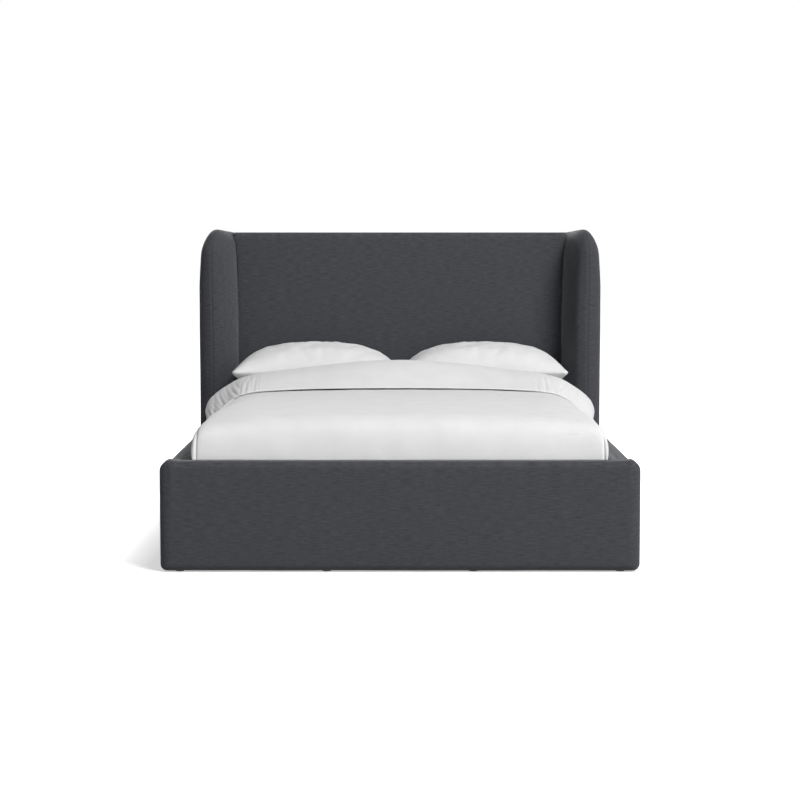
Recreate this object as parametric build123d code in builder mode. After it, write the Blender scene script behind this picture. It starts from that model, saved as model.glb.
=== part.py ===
"""An upholstered wing bed with its mattress, dressed with a sheet, a turned-down duvet and two pillows.

Millimetres. X is across the bed, +Y runs from the foot to the head, +Z is up.
The origin is on the floor under the middle of the bed's outline.
"""

import os
from math import cos, radians, sin, sqrt, tan

from build123d import *

os.makedirs("parts", exist_ok=True)

# Fits
fit_gap = 0.3
screw_clearance = 0.05
overrun = 50

# Mattress, which sets the size of the frame
mattress_width = 1512
mattress_length = 2020
mattress_thickness = 250
mattress_corner_radius = 60
mattress_edge_radius = 42
ticking_thickness = 3
spring_unit_margin = 40
spring_unit_height = 165
sheet_thickness = 1.2
sheet_tuck_height = 60

# Upholstery, shared by all panels
cover_thickness = 2
foam_thickness = 20
glide_height = 4
glide_radius = 16
glide_inset = 45

# Footboard
footboard_thickness = 90
footboard_height = 407
footboard_corner_radius = 38
footboard_foot_radius = 25
footboard_edge_radius = 26
foot_gap = 30
footboard_timber_width = 60
footboard_skin_thickness = 9
footboard_stile_count = 5

# Side rails
rail_side_gap = 34
rail_thickness = 75
rail_end_inset = 12.5
rail_height = 400
rail_top_radius = 32
rail_foot_radius = 12
rail_seat_depth = 75

# Headboard panel
headboard_thickness = 105
headboard_height = 1245
headboard_side_gap = 14
headboard_top_radius = 30
headboard_side_radius = 9
headboard_timber_width = 70
headboard_skin_thickness = 6
headboard_stile_count = 5
headboard_rail_count = 3
head_gap = 12

# Wings
wing_thickness = 110
wing_height = 1268
wing_back_drop = 26
wing_reach = 222
wing_flare_deg = 19
wing_corner_radius = 140
wing_nose_radius = 54
wing_foot_radius = 12
wing_window_margin = 48
wing_window_count = 3
wing_window_bar = 60

# Slatted deck
deck_height = 270
slat_thickness = 20
slat_width = 90
slat_count = 12
slat_end_gap = 4
strap_width = 32
strap_thickness = 1.5
strap_place_share = 0.45
ledger_width = 32
ledger_height = 38
ledger_end_gap = 70

# Middle beam, its hangers, legs and levelling feet
beam_width = 44
beam_height = 62
hanger_plate = 3
hanger_depth = 42
hanger_flange = 28
hanger_back_gap = 2
leg_width = 46
leg_count = 3
leg_place_share = 0.33
foot_disc_radius = 21
foot_disc_height = 12
foot_disc_chamfer = 2
foot_stud_radius = 5
foot_stud_length = 42

# Steel joints between the panels
bracket_plate = 4
bracket_leg = 62
bracket_height = 130
bracket_base = 95
bolt_radius = 4
bolt_head_radius = 7.5
bolt_head_height = 5
bolt_length = 34
bolt_spacing = 76
hook_plate_thickness = 3
hook_plate_width = 28
hook_plate_height = 150
hook_plate_base = 110
hook_count = 2
hook_spacing = 78
hook_thickness = 3
hook_reach = 16
hook_height = 26
hook_lip = 12
hook_slot_clearance = 1
wing_bolt_length = 150
wing_bolt_spacing = 330
wing_bolt_base = 140
wing_bolt_count = 4

# Duvet
duvet_thickness = 32
duvet_side_thickness = 13
duvet_tent_reach = 46
duvet_edge_radius = 46
duvet_plan_radius = 40
duvet_head_setback = 512
duvet_tuck_share = 0.24
duvet_tent_share = 0.62
duvet_round_shares = (0, 0.08, 0.3, 0.62)
duvet_length_shares = (0.03, 0.24, 0.34, 0.43, 0.52, 0.62, 0.81, 1)

# Turned-down end of the duvet
turndown_length = 292
turndown_hem_thickness = 15
turndown_rise = 132
turndown_side_reach = 22
turndown_end_radius = 58
turndown_slope_shares = ((0, 0), (0.3, 0.42), (0.62, 0.78), (1, 1))
turndown_round_shares = (0, 0.38, 0.7, 0.92, 1)

# Outlines across the bedding from the edge of its flat top to its lower edge.
# Each point is a share of the half width, a share of the reach over the rail and a share of the height.
tucked_shares = ((0.73, 0, 0.965), (0.936, 0, 0.88), (0.993, 0, 0.617), (1, 0, 0.33), (1, 0, 0))
tented_shares = ((0.73, 0, 0.94), (0.90, 0, 0.82), (0.996, 0, 0.50), (1, 0.52, 0.245), (1, 1, 0))
folded_shares = ((0.73, 0, 0.813), (0.90, 0, 0.729), (0.987, 0, 0.637), (1, 0.72, 0.38), (1, 1, 0))

# Pillows
pillow_width = 744
pillow_depth = 492
pillow_crown = 118
pillow_belly = 84
pillow_pull_in = 22
pillow_seam_height = 9
pillow_split = 22
pillow_back_gap = 6
pillow_station_shares = (-0.5, -0.485, -0.45, -0.38, -0.25, -0.09, 0.09, 0.25, 0.38, 0.45, 0.485, 0.5)
pillow_fullness_power = 2

# Places worked out from the sizes above
rail_inner = mattress_width / 2 + rail_side_gap
rail_outer = rail_inner + rail_thickness
footboard_width = 2 * (rail_outer + rail_end_inset)
headboard_inner_half = mattress_width / 2 + headboard_side_gap
overall_length = footboard_thickness + foot_gap + mattress_length + head_gap + headboard_thickness
y_foot = -overall_length / 2
y_head = overall_length / 2
y_footboard_back = y_foot + footboard_thickness
y_mattress_foot = y_footboard_back + foot_gap
y_mattress_head = y_mattress_foot + mattress_length
y_headboard_face = y_head - headboard_thickness
strap_top = deck_height + strap_thickness
mattress_base = strap_top + fit_gap
mattress_top = mattress_base + mattress_thickness
sheet_rise = fit_gap + sheet_thickness
sheet_top = mattress_top + sheet_rise
frame_inset = cover_thickness + foam_thickness
slat_base = deck_height - slat_thickness
flare_sin = sin(radians(wing_flare_deg))
flare_cos = cos(radians(wing_flare_deg))
flare_tan = tan(radians(wing_flare_deg))
wing_front = wing_reach * flare_cos
y_rail_seat = y_headboard_face - wing_front - wing_nose_radius * flare_sin + rail_seat_depth
y_rail_end = y_rail_seat - 2 * hook_plate_thickness - fit_gap
wing_place = Location((headboard_inner_half, y_headboard_face, 0), (0, 0, wing_flare_deg))
y_duvet_foot = y_mattress_foot - sheet_rise - duvet_side_thickness
y_duvet_head = y_headboard_face - duvet_head_setback
y_fold = y_duvet_head - turndown_length


def save(piece, name):
    """Labels a finished piece and writes it under its own name."""
    piece.label = name
    export_step(piece, f"parts/{name}.step")


def box_between(low, high):
    """A box from its lowest to its highest corner."""
    with BuildPart() as block:
        with Locations(tuple((a + b) / 2 for a, b in zip(low, high))):
            Box(*(b - a for a, b in zip(low, high)))
    return block.part


def shell_of(outer, inner):
    """What is left of the outer form once the inner one is taken out."""
    with BuildPart() as shell:
        add(outer)
        add(inner, mode=Mode.SUBTRACT)
    return shell.part


def joined(*pieces):
    """Several separate solids as one node."""
    return Compound(children=[solid for piece in pieces for solid in piece.solids()])


def drilled(pieces, holes):
    """The same pieces with the bolt holes through them."""
    return [shell_of(piece, holes) for piece in pieces]


def mirrored(piece):
    """The same piece for the other side of the bed."""
    return mirror(piece, about=Plane.YZ)


# Footboard
def footboard_form(inset):
    """The footboard's outline with rounded corners and soft edges, taken in by inset."""
    height = footboard_height - glide_height - 2 * inset
    with BuildPart() as form:
        with BuildSketch(Plane.XZ.offset(-(y_foot + inset))) as outline:
            with Locations((0, glide_height + inset + height / 2)):
                Rectangle(footboard_width - 2 * inset, height)
            fillet(outline.vertices().group_by(Axis.Y)[-1], footboard_corner_radius - inset)
            fillet(outline.vertices().group_by(Axis.Y)[0], footboard_foot_radius - inset)
        extrude(amount=-(footboard_thickness - 2 * inset))
        rim = form.faces().filter_by(Axis.Y).edges()
        fillet(rim, footboard_edge_radius - inset)
    return form.part


def build_footboard(holes):
    outer = footboard_form(0)
    lining = footboard_form(cover_thickness)
    padding = footboard_form(cover_thickness + fit_gap)
    half = footboard_width / 2 - frame_inset - footboard_timber_width
    reach = footboard_width / 2 - frame_inset
    low = (-reach, y_foot + frame_inset, glide_height + frame_inset)
    high = (reach, y_footboard_back - frame_inset, footboard_height - frame_inset)
    core_low = low[1] + footboard_skin_thickness
    core_high = high[1] - footboard_skin_thickness
    rails_z = (low[2], high[2] - footboard_timber_width)
    timbers = [
        box_between((low[0], core_low, z), (high[0], core_high, z + footboard_timber_width)) for z in rails_z
    ]
    for index in range(footboard_stile_count):
        middle = half * (2 * index / (footboard_stile_count - 1) - 1)
        edge = middle + footboard_timber_width / 2 * (2 * index / (footboard_stile_count - 1) - 1)
        stile_low = (edge - footboard_timber_width / 2, core_low, low[2] + footboard_timber_width)
        stile_high = (edge + footboard_timber_width / 2, core_high, high[2] - footboard_timber_width)
        timbers.append(box_between(stile_low, stile_high))
    skins = [
        box_between(low, (high[0], core_low, high[2])),
        box_between((low[0], core_high, low[2]), high),
    ]
    frame_space = box_between([v - fit_gap for v in low], [v + fit_gap for v in high])
    cover, foam = drilled([shell_of(outer, lining), shell_of(padding, frame_space)], holes)
    save(cover, "footboard_cover")
    save(foam, "footboard_foam")
    save(joined(*drilled(timbers + skins, holes)), "footboard_frame")
    return outer


# Side rails
def rail_form(inset):
    """A rail's section run from the footboard to its seat in the wing, taken in by inset."""
    with BuildPart() as form:
        with BuildSketch(Plane.XZ.offset(-(y_footboard_back - footboard_edge_radius))) as section:
            with Locations(((rail_inner + rail_outer) / 2, (glide_height + rail_height) / 2)):
                Rectangle(rail_thickness - 2 * inset, rail_height - glide_height - 2 * inset)
            fillet(section.vertices().group_by(Axis.Y)[-1], rail_top_radius - inset)
            fillet(section.vertices().group_by(Axis.Y)[0], rail_foot_radius - inset)
        extrude(amount=-(y_rail_end - y_footboard_back + footboard_edge_radius))
    return form.part


def build_rails(footboard_outer, holes):
    cover = shell_of(shell_of(rail_form(0), rail_form(cover_thickness)), footboard_outer)
    board_low = (rail_inner + frame_inset, y_footboard_back, glide_height + frame_inset)
    board_high = (rail_outer - frame_inset, y_rail_end, rail_height - frame_inset)
    board = box_between(board_low, board_high)
    space_low = (board_low[0] - fit_gap, y_foot, board_low[2] - fit_gap)
    space_high = (board_high[0] + fit_gap, y_head, board_high[2] + fit_gap)
    board_space = box_between(space_low, space_high)
    foam = shell_of(shell_of(rail_form(cover_thickness + fit_gap), board_space), footboard_outer)
    ledger_low = (rail_inner - ledger_width, y_footboard_back + ledger_end_gap, slat_base - ledger_height)
    ledger = box_between(ledger_low, (rail_inner, y_rail_end - ledger_end_gap, slat_base))
    board, foam, cover = drilled([board, foam, cover], holes)
    for name, piece in (("board", board), ("foam", foam), ("cover", cover)):
        save(piece, f"side_rail_right_{name}")
        save(mirrored(piece), f"side_rail_left_{name}")
    save(ledger, "ledger_right")
    save(mirrored(ledger), "ledger_left")


# Headboard panel
def headboard_form(inset):
    """The padded panel between the wings, whose sides follow their flare."""
    face_half = headboard_inner_half - fit_gap - inset / flare_cos - inset * flare_tan
    back_half = face_half - (headboard_thickness - 2 * inset) * flare_tan
    low, high = y_headboard_face + inset, y_head - inset
    with BuildPart() as form:
        with BuildSketch(Plane.XY.offset(glide_height + inset)):
            with BuildLine():
                front = ((-face_half, low), (face_half, low))
                Polyline(*front, (back_half, high), (-back_half, high), close=True)
            make_face()
        extrude(amount=headboard_height - glide_height - 2 * inset)
        fillet(form.faces().sort_by(Axis.Z)[-1].edges().filter_by(Axis.X), headboard_top_radius - inset)
        uprights = form.edges().filter_by(Axis.Z).group_by(Axis.Y)[0]
        fillet(uprights, max(headboard_side_radius - inset, headboard_side_radius / 2))
    return form.part


def build_headboard(holes):
    outer = headboard_form(0)
    lining = headboard_form(cover_thickness)
    padding = headboard_form(cover_thickness + fit_gap)
    half = headboard_inner_half - headboard_thickness * flare_tan - frame_inset
    low = (-half, y_headboard_face + frame_inset, glide_height + frame_inset)
    high = (half, y_head - frame_inset, headboard_height - frame_inset)
    core_low = low[1] + headboard_skin_thickness
    core_high = high[1] - headboard_skin_thickness
    clear_height = high[2] - low[2] - headboard_timber_width
    timbers = []
    for index in range(headboard_rail_count):
        z = low[2] + clear_height * index / (headboard_rail_count - 1)
        timbers.append(box_between((low[0], core_low, z), (high[0], core_high, z + headboard_timber_width)))
    bay = clear_height / (headboard_rail_count - 1)
    for level in range(headboard_rail_count - 1):
        z = low[2] + bay * level + headboard_timber_width
        for index in range(headboard_stile_count):
            x = low[0] + (2 * half - headboard_timber_width) * index / (headboard_stile_count - 1)
            top = z + bay - headboard_timber_width
            timbers.append(box_between((x, core_low, z), (x + headboard_timber_width, core_high, top)))
    skins = [
        box_between(low, (high[0], core_low, high[2])),
        box_between((low[0], core_high, low[2]), high),
    ]
    frame_space = box_between([v - fit_gap for v in low], [v + fit_gap for v in high])
    cover, foam = drilled([shell_of(outer, lining), shell_of(padding, frame_space)], holes)
    save(cover, "headboard_cover")
    save(foam, "headboard_foam")
    save(joined(*drilled(timbers + skins, holes)), "headboard_frame")


# Wings
def wing_slab(inset, nose_radius):
    """A wing along its own axes: X through its thickness, -Y forwards, its inner face on X = inset."""
    back = headboard_thickness / flare_cos + wing_thickness * flare_tan + overrun
    front = -(wing_reach - inset)
    base, top = glide_height + inset, wing_height - inset
    with BuildPart() as slab:
        with BuildSketch(Plane.YZ.offset(inset)) as side:
            with BuildLine():
                Polyline((front, base), (back, base), (back, top - wing_back_drop), (front, top), close=True)
            make_face()
            nose = side.vertices().group_by(Axis.X)[0].sort_by(Axis.Y)
            fillet(nose[-1], wing_corner_radius - inset)
            fillet(side.vertices().group_by(Axis.X)[0].sort_by(Axis.Y)[0], wing_foot_radius)
        extrude(amount=wing_thickness - 2 * inset)
        if nose_radius:
            rims = slab.faces().filter_by(Axis.X).edges()
            fillet([rim for rim in rims if rim.center().Y < back and rim.center().Z > base], nose_radius)
    return slab.part


def wing_placed(slab, inset):
    """Turns a wing out by its flare, stands it beside the panel and trims it along the headboard's back."""
    placed = slab.moved(wing_place)
    back = y_head - inset
    behind = box_between((0, back, -overrun), (footboard_width, back + footboard_width, 2 * wing_height))
    return shell_of(placed, behind)


def rail_seat():
    """The pocket in the wing's front that takes the end of the rail."""
    low = (rail_inner - overrun, y_footboard_back, -overrun)
    high = (rail_outer + fit_gap, y_rail_seat, rail_height + fit_gap)
    return box_between(low, high)


def wing_frame():
    """The plywood frame inside a wing, lightened by a row of windows."""
    low = glide_height + frame_inset + wing_window_margin
    high = wing_height - frame_inset - wing_corner_radius
    pitch = (high - low + wing_window_bar) / wing_window_count
    heights = [low + pitch * (i + 1 / 2) - wing_window_bar / 2 for i in range(wing_window_count)]
    half = wing_reach - frame_inset - 2 * wing_window_margin
    with BuildPart() as frame:
        add(wing_slab(frame_inset, 0))
        with BuildSketch(Plane.YZ):
            with Locations(*((-half / 2, z) for z in heights)):
                Rectangle(half, pitch - wing_window_bar)
        extrude(amount=wing_thickness, mode=Mode.SUBTRACT)
    return frame.part


def hook_heights():
    middle = hook_plate_base + hook_plate_height / 2
    return [middle + hook_spacing * (i - (hook_count - 1) / 2) for i in range(hook_count)]


def build_wings(holes):
    seat = rail_seat()
    lined = cover_thickness + fit_gap
    outer = shell_of(wing_placed(wing_slab(0, wing_nose_radius), 0), seat)
    lining = wing_placed(wing_slab(cover_thickness, wing_nose_radius - cover_thickness), cover_thickness)
    padding = wing_placed(wing_slab(lined, wing_nose_radius - lined), lined)
    frame_space = wing_placed(wing_slab(frame_inset - fit_gap, 0), frame_inset - fit_gap)
    hook_x = (rail_inner + rail_outer) / 2
    mortises = [
        box_between(
            (hook_x - hook_thickness, y_rail_seat - overrun, z - hook_height),
            (hook_x + hook_thickness, y_rail_seat + hook_reach, z + hook_height),
        )
        for z in hook_heights()
    ]
    cuts = joined(seat, *mortises)
    cover = shell_of(outer, lining)
    foam = shell_of(shell_of(padding, frame_space), cuts)
    frame = shell_of(wing_placed(wing_frame(), frame_inset), cuts)
    cover, foam, frame = drilled([cover, foam, frame], holes)
    for name, piece in (("frame", frame), ("foam", foam), ("cover", cover)):
        save(piece, f"wing_right_{name}")
        save(mirrored(piece), f"wing_left_{name}")


# Hooked plates that hang the rails on the wings
def build_hook_plates():
    middle = (rail_inner + rail_outer) / 2
    plate_top = hook_plate_base + hook_plate_height
    plate_y = y_rail_seat - hook_plate_thickness
    slot_half = hook_thickness / 2 + hook_slot_clearance
    with BuildPart() as slotted:
        add(
            box_between(
                (middle - hook_plate_width / 2, plate_y, hook_plate_base),
                (middle + hook_plate_width / 2, y_rail_seat, plate_top),
            )
        )
        for z in hook_heights():
            low = (middle - slot_half, plate_y, z - hook_height / 2 - hook_slot_clearance)
            high = (middle + slot_half, y_rail_seat, z + hook_height / 2 + hook_slot_clearance)
            add(box_between(low, high), mode=Mode.SUBTRACT)
    with BuildPart() as hooked:
        add(
            box_between(
                (middle - hook_plate_width / 2, y_rail_end, hook_plate_base),
                (middle + hook_plate_width / 2, y_rail_end + hook_plate_thickness, plate_top),
            )
        )
        for z in hook_heights():
            tip = y_rail_end + hook_plate_thickness + hook_reach - 2 * fit_gap
            root = y_rail_end + hook_plate_thickness
            low = (middle - hook_thickness / 2, root, z - hook_height / 2 + hook_lip)
            add(box_between(low, (middle + hook_thickness / 2, tip, z + hook_height / 2)))
            lip_low = (middle - hook_thickness / 2, y_rail_seat + fit_gap, z - hook_height / 2)
            lip_high = (middle + hook_thickness / 2, tip, z - hook_height / 2 + hook_lip)
            add(box_between(lip_low, lip_high))
    save(slotted.part, "wing_slot_plate_right")
    save(mirrored(slotted.part), "wing_slot_plate_left")
    save(hooked.part, "rail_hook_plate_right")
    save(mirrored(hooked.part), "rail_hook_plate_left")


# Bolts
def bolt_form(length):
    """A hexagon-head bolt whose head stands on the origin's plane and whose shank runs down -Z."""
    with BuildPart() as bolt:
        with BuildSketch():
            RegularPolygon(bolt_head_radius, 6)
        extrude(amount=bolt_head_height)
        with Locations((0, 0, -length / 2)):
            Cylinder(bolt_radius, length)
    return bolt.part


def bolt_holes(places, length, head_room):
    """The clearance holes around bolts at these places, with a sunk seat for each head."""
    with BuildPart() as holes:
        with Locations((0, 0, -(length + fit_gap) / 2)):
            Cylinder(bolt_radius + screw_clearance, length + fit_gap)
        with Locations((0, 0, head_room / 2)):
            Cylinder(bolt_head_radius + fit_gap, head_room)
    return joined(*[holes.part.moved(place) for place in places])


def foot_bolt_places():
    """Where the bolts of the right foot bracket start: two into the footboard and two into the rail."""
    across = rail_inner - bracket_leg / 2 - bracket_plate / 2
    along = y_footboard_back + bracket_leg / 2 + bracket_plate / 2
    middle = bracket_base + bracket_height / 2
    places = []
    for z in (middle - bolt_spacing / 2, middle + bolt_spacing / 2):
        places.append(Location((across, y_footboard_back + bracket_plate, z), (-90, 0, 0)))
        places.append(Location((rail_inner - bracket_plate, along, z), (0, -90, 0)))
    return places


def wing_bolt_places():
    """Where the bolts start whose heads sit sunk in the right wing's frame, to run into the headboard."""
    start = wing_thickness - frame_inset - bolt_head_height
    along = headboard_thickness / 2 / flare_cos - start / 2 * flare_tan
    heights = [wing_bolt_base + wing_bolt_spacing * index for index in range(wing_bolt_count)]
    return [wing_place * Location((start, along, z), (0, 90, 0)) for z in heights]


def build_foot_brackets(places):
    low_y = y_footboard_back
    with BuildPart() as bracket:
        with BuildSketch(Plane.XY.offset(bracket_base)):
            with BuildLine():
                Polyline(
                    (rail_inner, low_y),
                    (rail_inner, low_y + bracket_leg),
                    (rail_inner - bracket_plate, low_y + bracket_leg),
                    (rail_inner - bracket_plate, low_y + bracket_plate),
                    (rail_inner - bracket_leg, low_y + bracket_plate),
                    (rail_inner - bracket_leg, low_y),
                    close=True,
                )
            make_face()
        extrude(amount=bracket_height)
        add(bolt_holes(places, bolt_length, bolt_head_height), mode=Mode.SUBTRACT)
    bolts = [bolt_form(bolt_length).moved(place) for place in places]
    save(bracket.part, "foot_bracket_right")
    save(mirrored(bracket.part), "foot_bracket_left")
    save(joined(*bolts, *[mirrored(bolt) for bolt in bolts]), "foot_bracket_bolts")


def build_wing_bolts(places):
    bolts = [bolt_form(wing_bolt_length).moved(place) for place in places]
    save(joined(*bolts, *[mirrored(bolt) for bolt in bolts]), "wing_bolts")


# Slatted deck
def build_deck():
    half = rail_inner - slat_end_gap
    first = y_footboard_back + ledger_end_gap + slat_width / 2
    last = y_headboard_face - slat_end_gap - slat_width / 2
    pitch = (last - first) / (slat_count - 1)
    for index in range(slat_count):
        middle = first + pitch * index
        low, high = middle - slat_width / 2, middle + slat_width / 2
        reach = half if high < y_rail_end - ledger_end_gap else headboard_inner_half - slat_end_gap
        with BuildPart() as slat:
            add(box_between((-reach, low, slat_base), (reach, high, deck_height)))
            fillet(slat.edges().filter_by(Axis.X), slat_thickness / 8)
        save(slat.part, f"slat_{index + 1:02d}")
    cleat_base = slat_base - ledger_height
    cleat_low = (slat_end_gap - headboard_inner_half, y_headboard_face - ledger_width, cleat_base)
    cleat_end = beam_width / 2 + hanger_plate + hanger_flange + slat_end_gap
    cleat_high = (-cleat_end, y_headboard_face, slat_base)
    cleat = box_between(cleat_low, cleat_high)
    save(joined(cleat, mirrored(cleat)), "head_cleats")
    straps = []
    for side in (-1, 1):
        x = side * strap_place_share * 2 * half
        low = (x - strap_width / 2, first - slat_width / 2, deck_height)
        straps.append(box_between(low, (x + strap_width / 2, last + slat_width / 2, strap_top)))
    save(joined(*straps), "slat_straps")


def build_beam():
    base = slat_base - beam_height
    inner = y_footboard_back + hanger_plate + hanger_back_gap
    outer = y_headboard_face - hanger_plate - hanger_back_gap
    save(box_between((-beam_width / 2, inner, base), (beam_width / 2, outer, slat_base)), "middle_beam")
    for name, wall, way in (("foot", y_footboard_back, 1), ("head", y_headboard_face, -1)):
        with BuildPart() as hanger:
            half = beam_width / 2 + fit_gap
            shelf = base - hanger_plate
            ys = sorted((wall, wall + way * hanger_plate))
            ends = sorted((wall, wall + way * hanger_depth))
            low = (-half - hanger_plate - hanger_flange, ys[0], shelf)
            add(box_between(low, (half + hanger_plate + hanger_flange, ys[1], slat_base - hanger_plate)))
            add(box_between((-half - hanger_plate, ends[0], shelf), (half + hanger_plate, ends[1], base)))
            for x in (-half - hanger_plate, half):
                add(box_between((x, ends[0], shelf), (x + hanger_plate, ends[1], slat_base - hanger_plate)))
        save(hanger.part, f"beam_hanger_{name}")


def build_legs():
    base = slat_base - beam_height
    leg_foot = foot_disc_height + fit_gap
    for index in range(leg_count):
        y = (index - (leg_count - 1) / 2) * leg_place_share * mattress_length
        half = leg_width / 2
        with BuildPart() as leg:
            add(box_between((-half, y - half, leg_foot), (half, y + half, base)))
            chamfer(leg.faces().sort_by(Axis.Z)[0].edges(), foot_disc_chamfer)
            socket_length = foot_stud_length + fit_gap
            with Locations((0, y, leg_foot + socket_length / 2)):
                Cylinder(foot_stud_radius + screw_clearance, socket_length, mode=Mode.SUBTRACT)
        with BuildPart() as foot:
            with Locations((0, y, foot_disc_height / 2)):
                Cylinder(foot_disc_radius, foot_disc_height)
            chamfer(foot.edges(), foot_disc_chamfer)
            with Locations((0, y, foot_disc_height + foot_stud_length / 2)):
                Cylinder(foot_stud_radius, foot_stud_length)
        save(leg.part, f"middle_leg_{index + 1}")
        save(foot.part, f"levelling_foot_{index + 1}")


def build_glides():
    """Glides under the panels, on which the bed stands."""
    spots = []
    foot_y = y_foot + footboard_thickness / 2
    for share in (-1, -1 / 3, 1 / 3, 1):
        spots.append((share * (footboard_width / 2 - glide_inset - footboard_foot_radius), foot_y))
    rail_x = (rail_inner + rail_outer) / 2
    for share in (-1, 0, 1):
        spots += [(side * rail_x, share * mattress_length / 4) for side in (-1, 1)]
    head_y = y_head - headboard_thickness / 2
    for share in (-1, 0, 1):
        spots.append((share * (headboard_inner_half - headboard_thickness - glide_inset), head_y))
    wing_x = headboard_inner_half + wing_thickness / 2 * flare_cos
    spots += [(side * wing_x, y_headboard_face - glide_inset / 2) for side in (-1, 1)]
    with BuildPart() as glides:
        with Locations(*((x, y, glide_height / 2) for x, y in spots)):
            Cylinder(glide_radius, glide_height)
    save(glides.part, "panel_glides")


# Mattress and fitted sheet
def mattress_form(inset, base_inset, rise=0):
    """The mattress block with rounded corners and edges, taken in by inset, or grown by a negative one."""
    base = mattress_base + base_inset
    with BuildPart() as form:
        with BuildSketch(Plane.XY.offset(base)) as plan:
            with Locations((0, (y_mattress_foot + y_mattress_head) / 2)):
                Rectangle(mattress_width - 2 * inset, mattress_length - 2 * inset)
            fillet(plan.vertices(), mattress_corner_radius - inset)
        extrude(amount=mattress_top - inset + rise - base)
        fillet(form.faces().sort_by(Axis.Z)[-1].edges(), mattress_edge_radius - inset)
        if base_inset == inset:
            fillet(form.faces().sort_by(Axis.Z)[0].edges(), mattress_edge_radius / 2 - inset)
    return form.part


def build_mattress():
    block = mattress_form(0, 0)
    hollow = mattress_form(ticking_thickness, ticking_thickness)
    unit_low = (
        -mattress_width / 2 + spring_unit_margin,
        y_mattress_foot + spring_unit_margin,
        mattress_base + spring_unit_margin / 2,
    )
    unit_high = (-unit_low[0], y_mattress_head - spring_unit_margin, unit_low[2] + spring_unit_height)
    unit_space = box_between([v - fit_gap for v in unit_low], [v + fit_gap for v in unit_high])
    foam = shell_of(mattress_form(ticking_thickness + fit_gap, ticking_thickness + fit_gap), unit_space)
    sheet_outer = mattress_form(-sheet_rise, sheet_tuck_height)
    sheet_inner = mattress_form(-fit_gap, 0)
    save(shell_of(block, hollow), "mattress_ticking")
    save(foam, "mattress_foam")
    save(box_between(unit_low, unit_high), "mattress_spring_unit")
    save(shell_of(sheet_outer, sheet_inner), "fitted_sheet")


# Duvet
def smooth_step(t):
    t = min(max(t, 0), 1)
    return t * t * (3 - 2 * t)


def blended(first, second, share):
    """The outline that lies this share of the way from the first table of shares to the second."""
    return [tuple(a + (b - a) * share for a, b in zip(p, q)) for p, q in zip(first, second)]


def bedding_section(y, outline, top, reach, drop=0, inset=0):
    """A closed outline across the bed at y, from a table of shares, its top lowered by drop."""
    low = rail_height + fit_gap
    side = mattress_width / 2 + sheet_rise + duvet_side_thickness - inset
    height = (top - low) - drop
    flat, shoulder, corner, flank, edge = [(side * a + reach * b, low + height * c) for a, b, c in outline]
    with BuildSketch(Plane.XZ.offset(-y)) as section:
        with BuildLine():
            ThreePointArc((-flat[0], flat[1]), (0, top - drop), flat)
            for way in (1, -1):
                a, b, c, d, e = [(way * x, z) for x, z in (flat, shoulder, corner, flank, edge)]
                ThreePointArc(a, b, c)
                if abs(c[0] - e[0]) < fit_gap:
                    Line(c, e)
                else:
                    ThreePointArc(c, d, e)
            Line(edge, (-edge[0], edge[1]))
        make_face()
    return section.sketch.faces()[0]


def duvet_station(y):
    """The duvet's outline at y: tucked tight near the foot, tented out over the rails further up."""
    along = (y - y_duvet_foot) / (y_duvet_head - y_duvet_foot)
    spread = smooth_step((along - duvet_tuck_share) / (duvet_tent_share - duvet_tuck_share))
    side = mattress_width / 2 + sheet_rise + duvet_side_thickness
    reach = (rail_inner + duvet_tent_reach - side) * spread
    top = sheet_top + duvet_thickness
    rounding = min(max((y - y_duvet_foot) / duvet_edge_radius, 0), 1)
    lost = 1 - sqrt(1 - (1 - rounding) ** 2)
    outline = blended(tucked_shares, tented_shares, spread)
    return bedding_section(y, outline, top, reach, duvet_edge_radius * lost, duvet_plan_radius * lost)


def chained(faces):
    """One solid through a row of outlines."""
    with BuildPart() as solid:
        for low, high in zip(faces, faces[1:]):
            loft([low, high], ruled=True)
    return solid.part


def duvet_outer():
    places = [y_duvet_foot + duvet_edge_radius * share for share in duvet_round_shares]
    places += [y_duvet_foot + share * (y_duvet_head - y_duvet_foot) for share in duvet_length_shares]
    return chained([duvet_station(y) for y in places])


def build_duvet():
    bed_inside = mattress_form(-sheet_rise - fit_gap, 0)
    outer = duvet_outer()
    save(shell_of(outer, bed_inside), "duvet")
    return outer


def turndown_station(share, slope, lost=0):
    """The turned-down end's outline at a share of its length, higher in the middle than at its sides."""
    top = sheet_top + duvet_thickness + turndown_hem_thickness
    top += (turndown_rise - turndown_hem_thickness) * slope
    side = mattress_width / 2 + sheet_rise + duvet_side_thickness
    reach = rail_inner + duvet_tent_reach + turndown_side_reach - side
    outline = blended(tented_shares, folded_shares, slope)
    return bedding_section(y_fold + turndown_length * share, outline, top, reach, turndown_end_radius * lost)


def build_turndown(duvet_form):
    faces = [turndown_station(share, slope) for share, slope in turndown_slope_shares[:-1]]
    for share in turndown_round_shares:
        along = 1 - (turndown_end_radius / turndown_length) * (1 - share)
        faces.append(turndown_station(along, along ** (1 / 2), 1 - sqrt(1 - share**2)))
    bed_inside = mattress_form(-sheet_rise - fit_gap, 0)
    save(shell_of(shell_of(chained(faces), duvet_form), bed_inside), "duvet_turndown")


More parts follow.
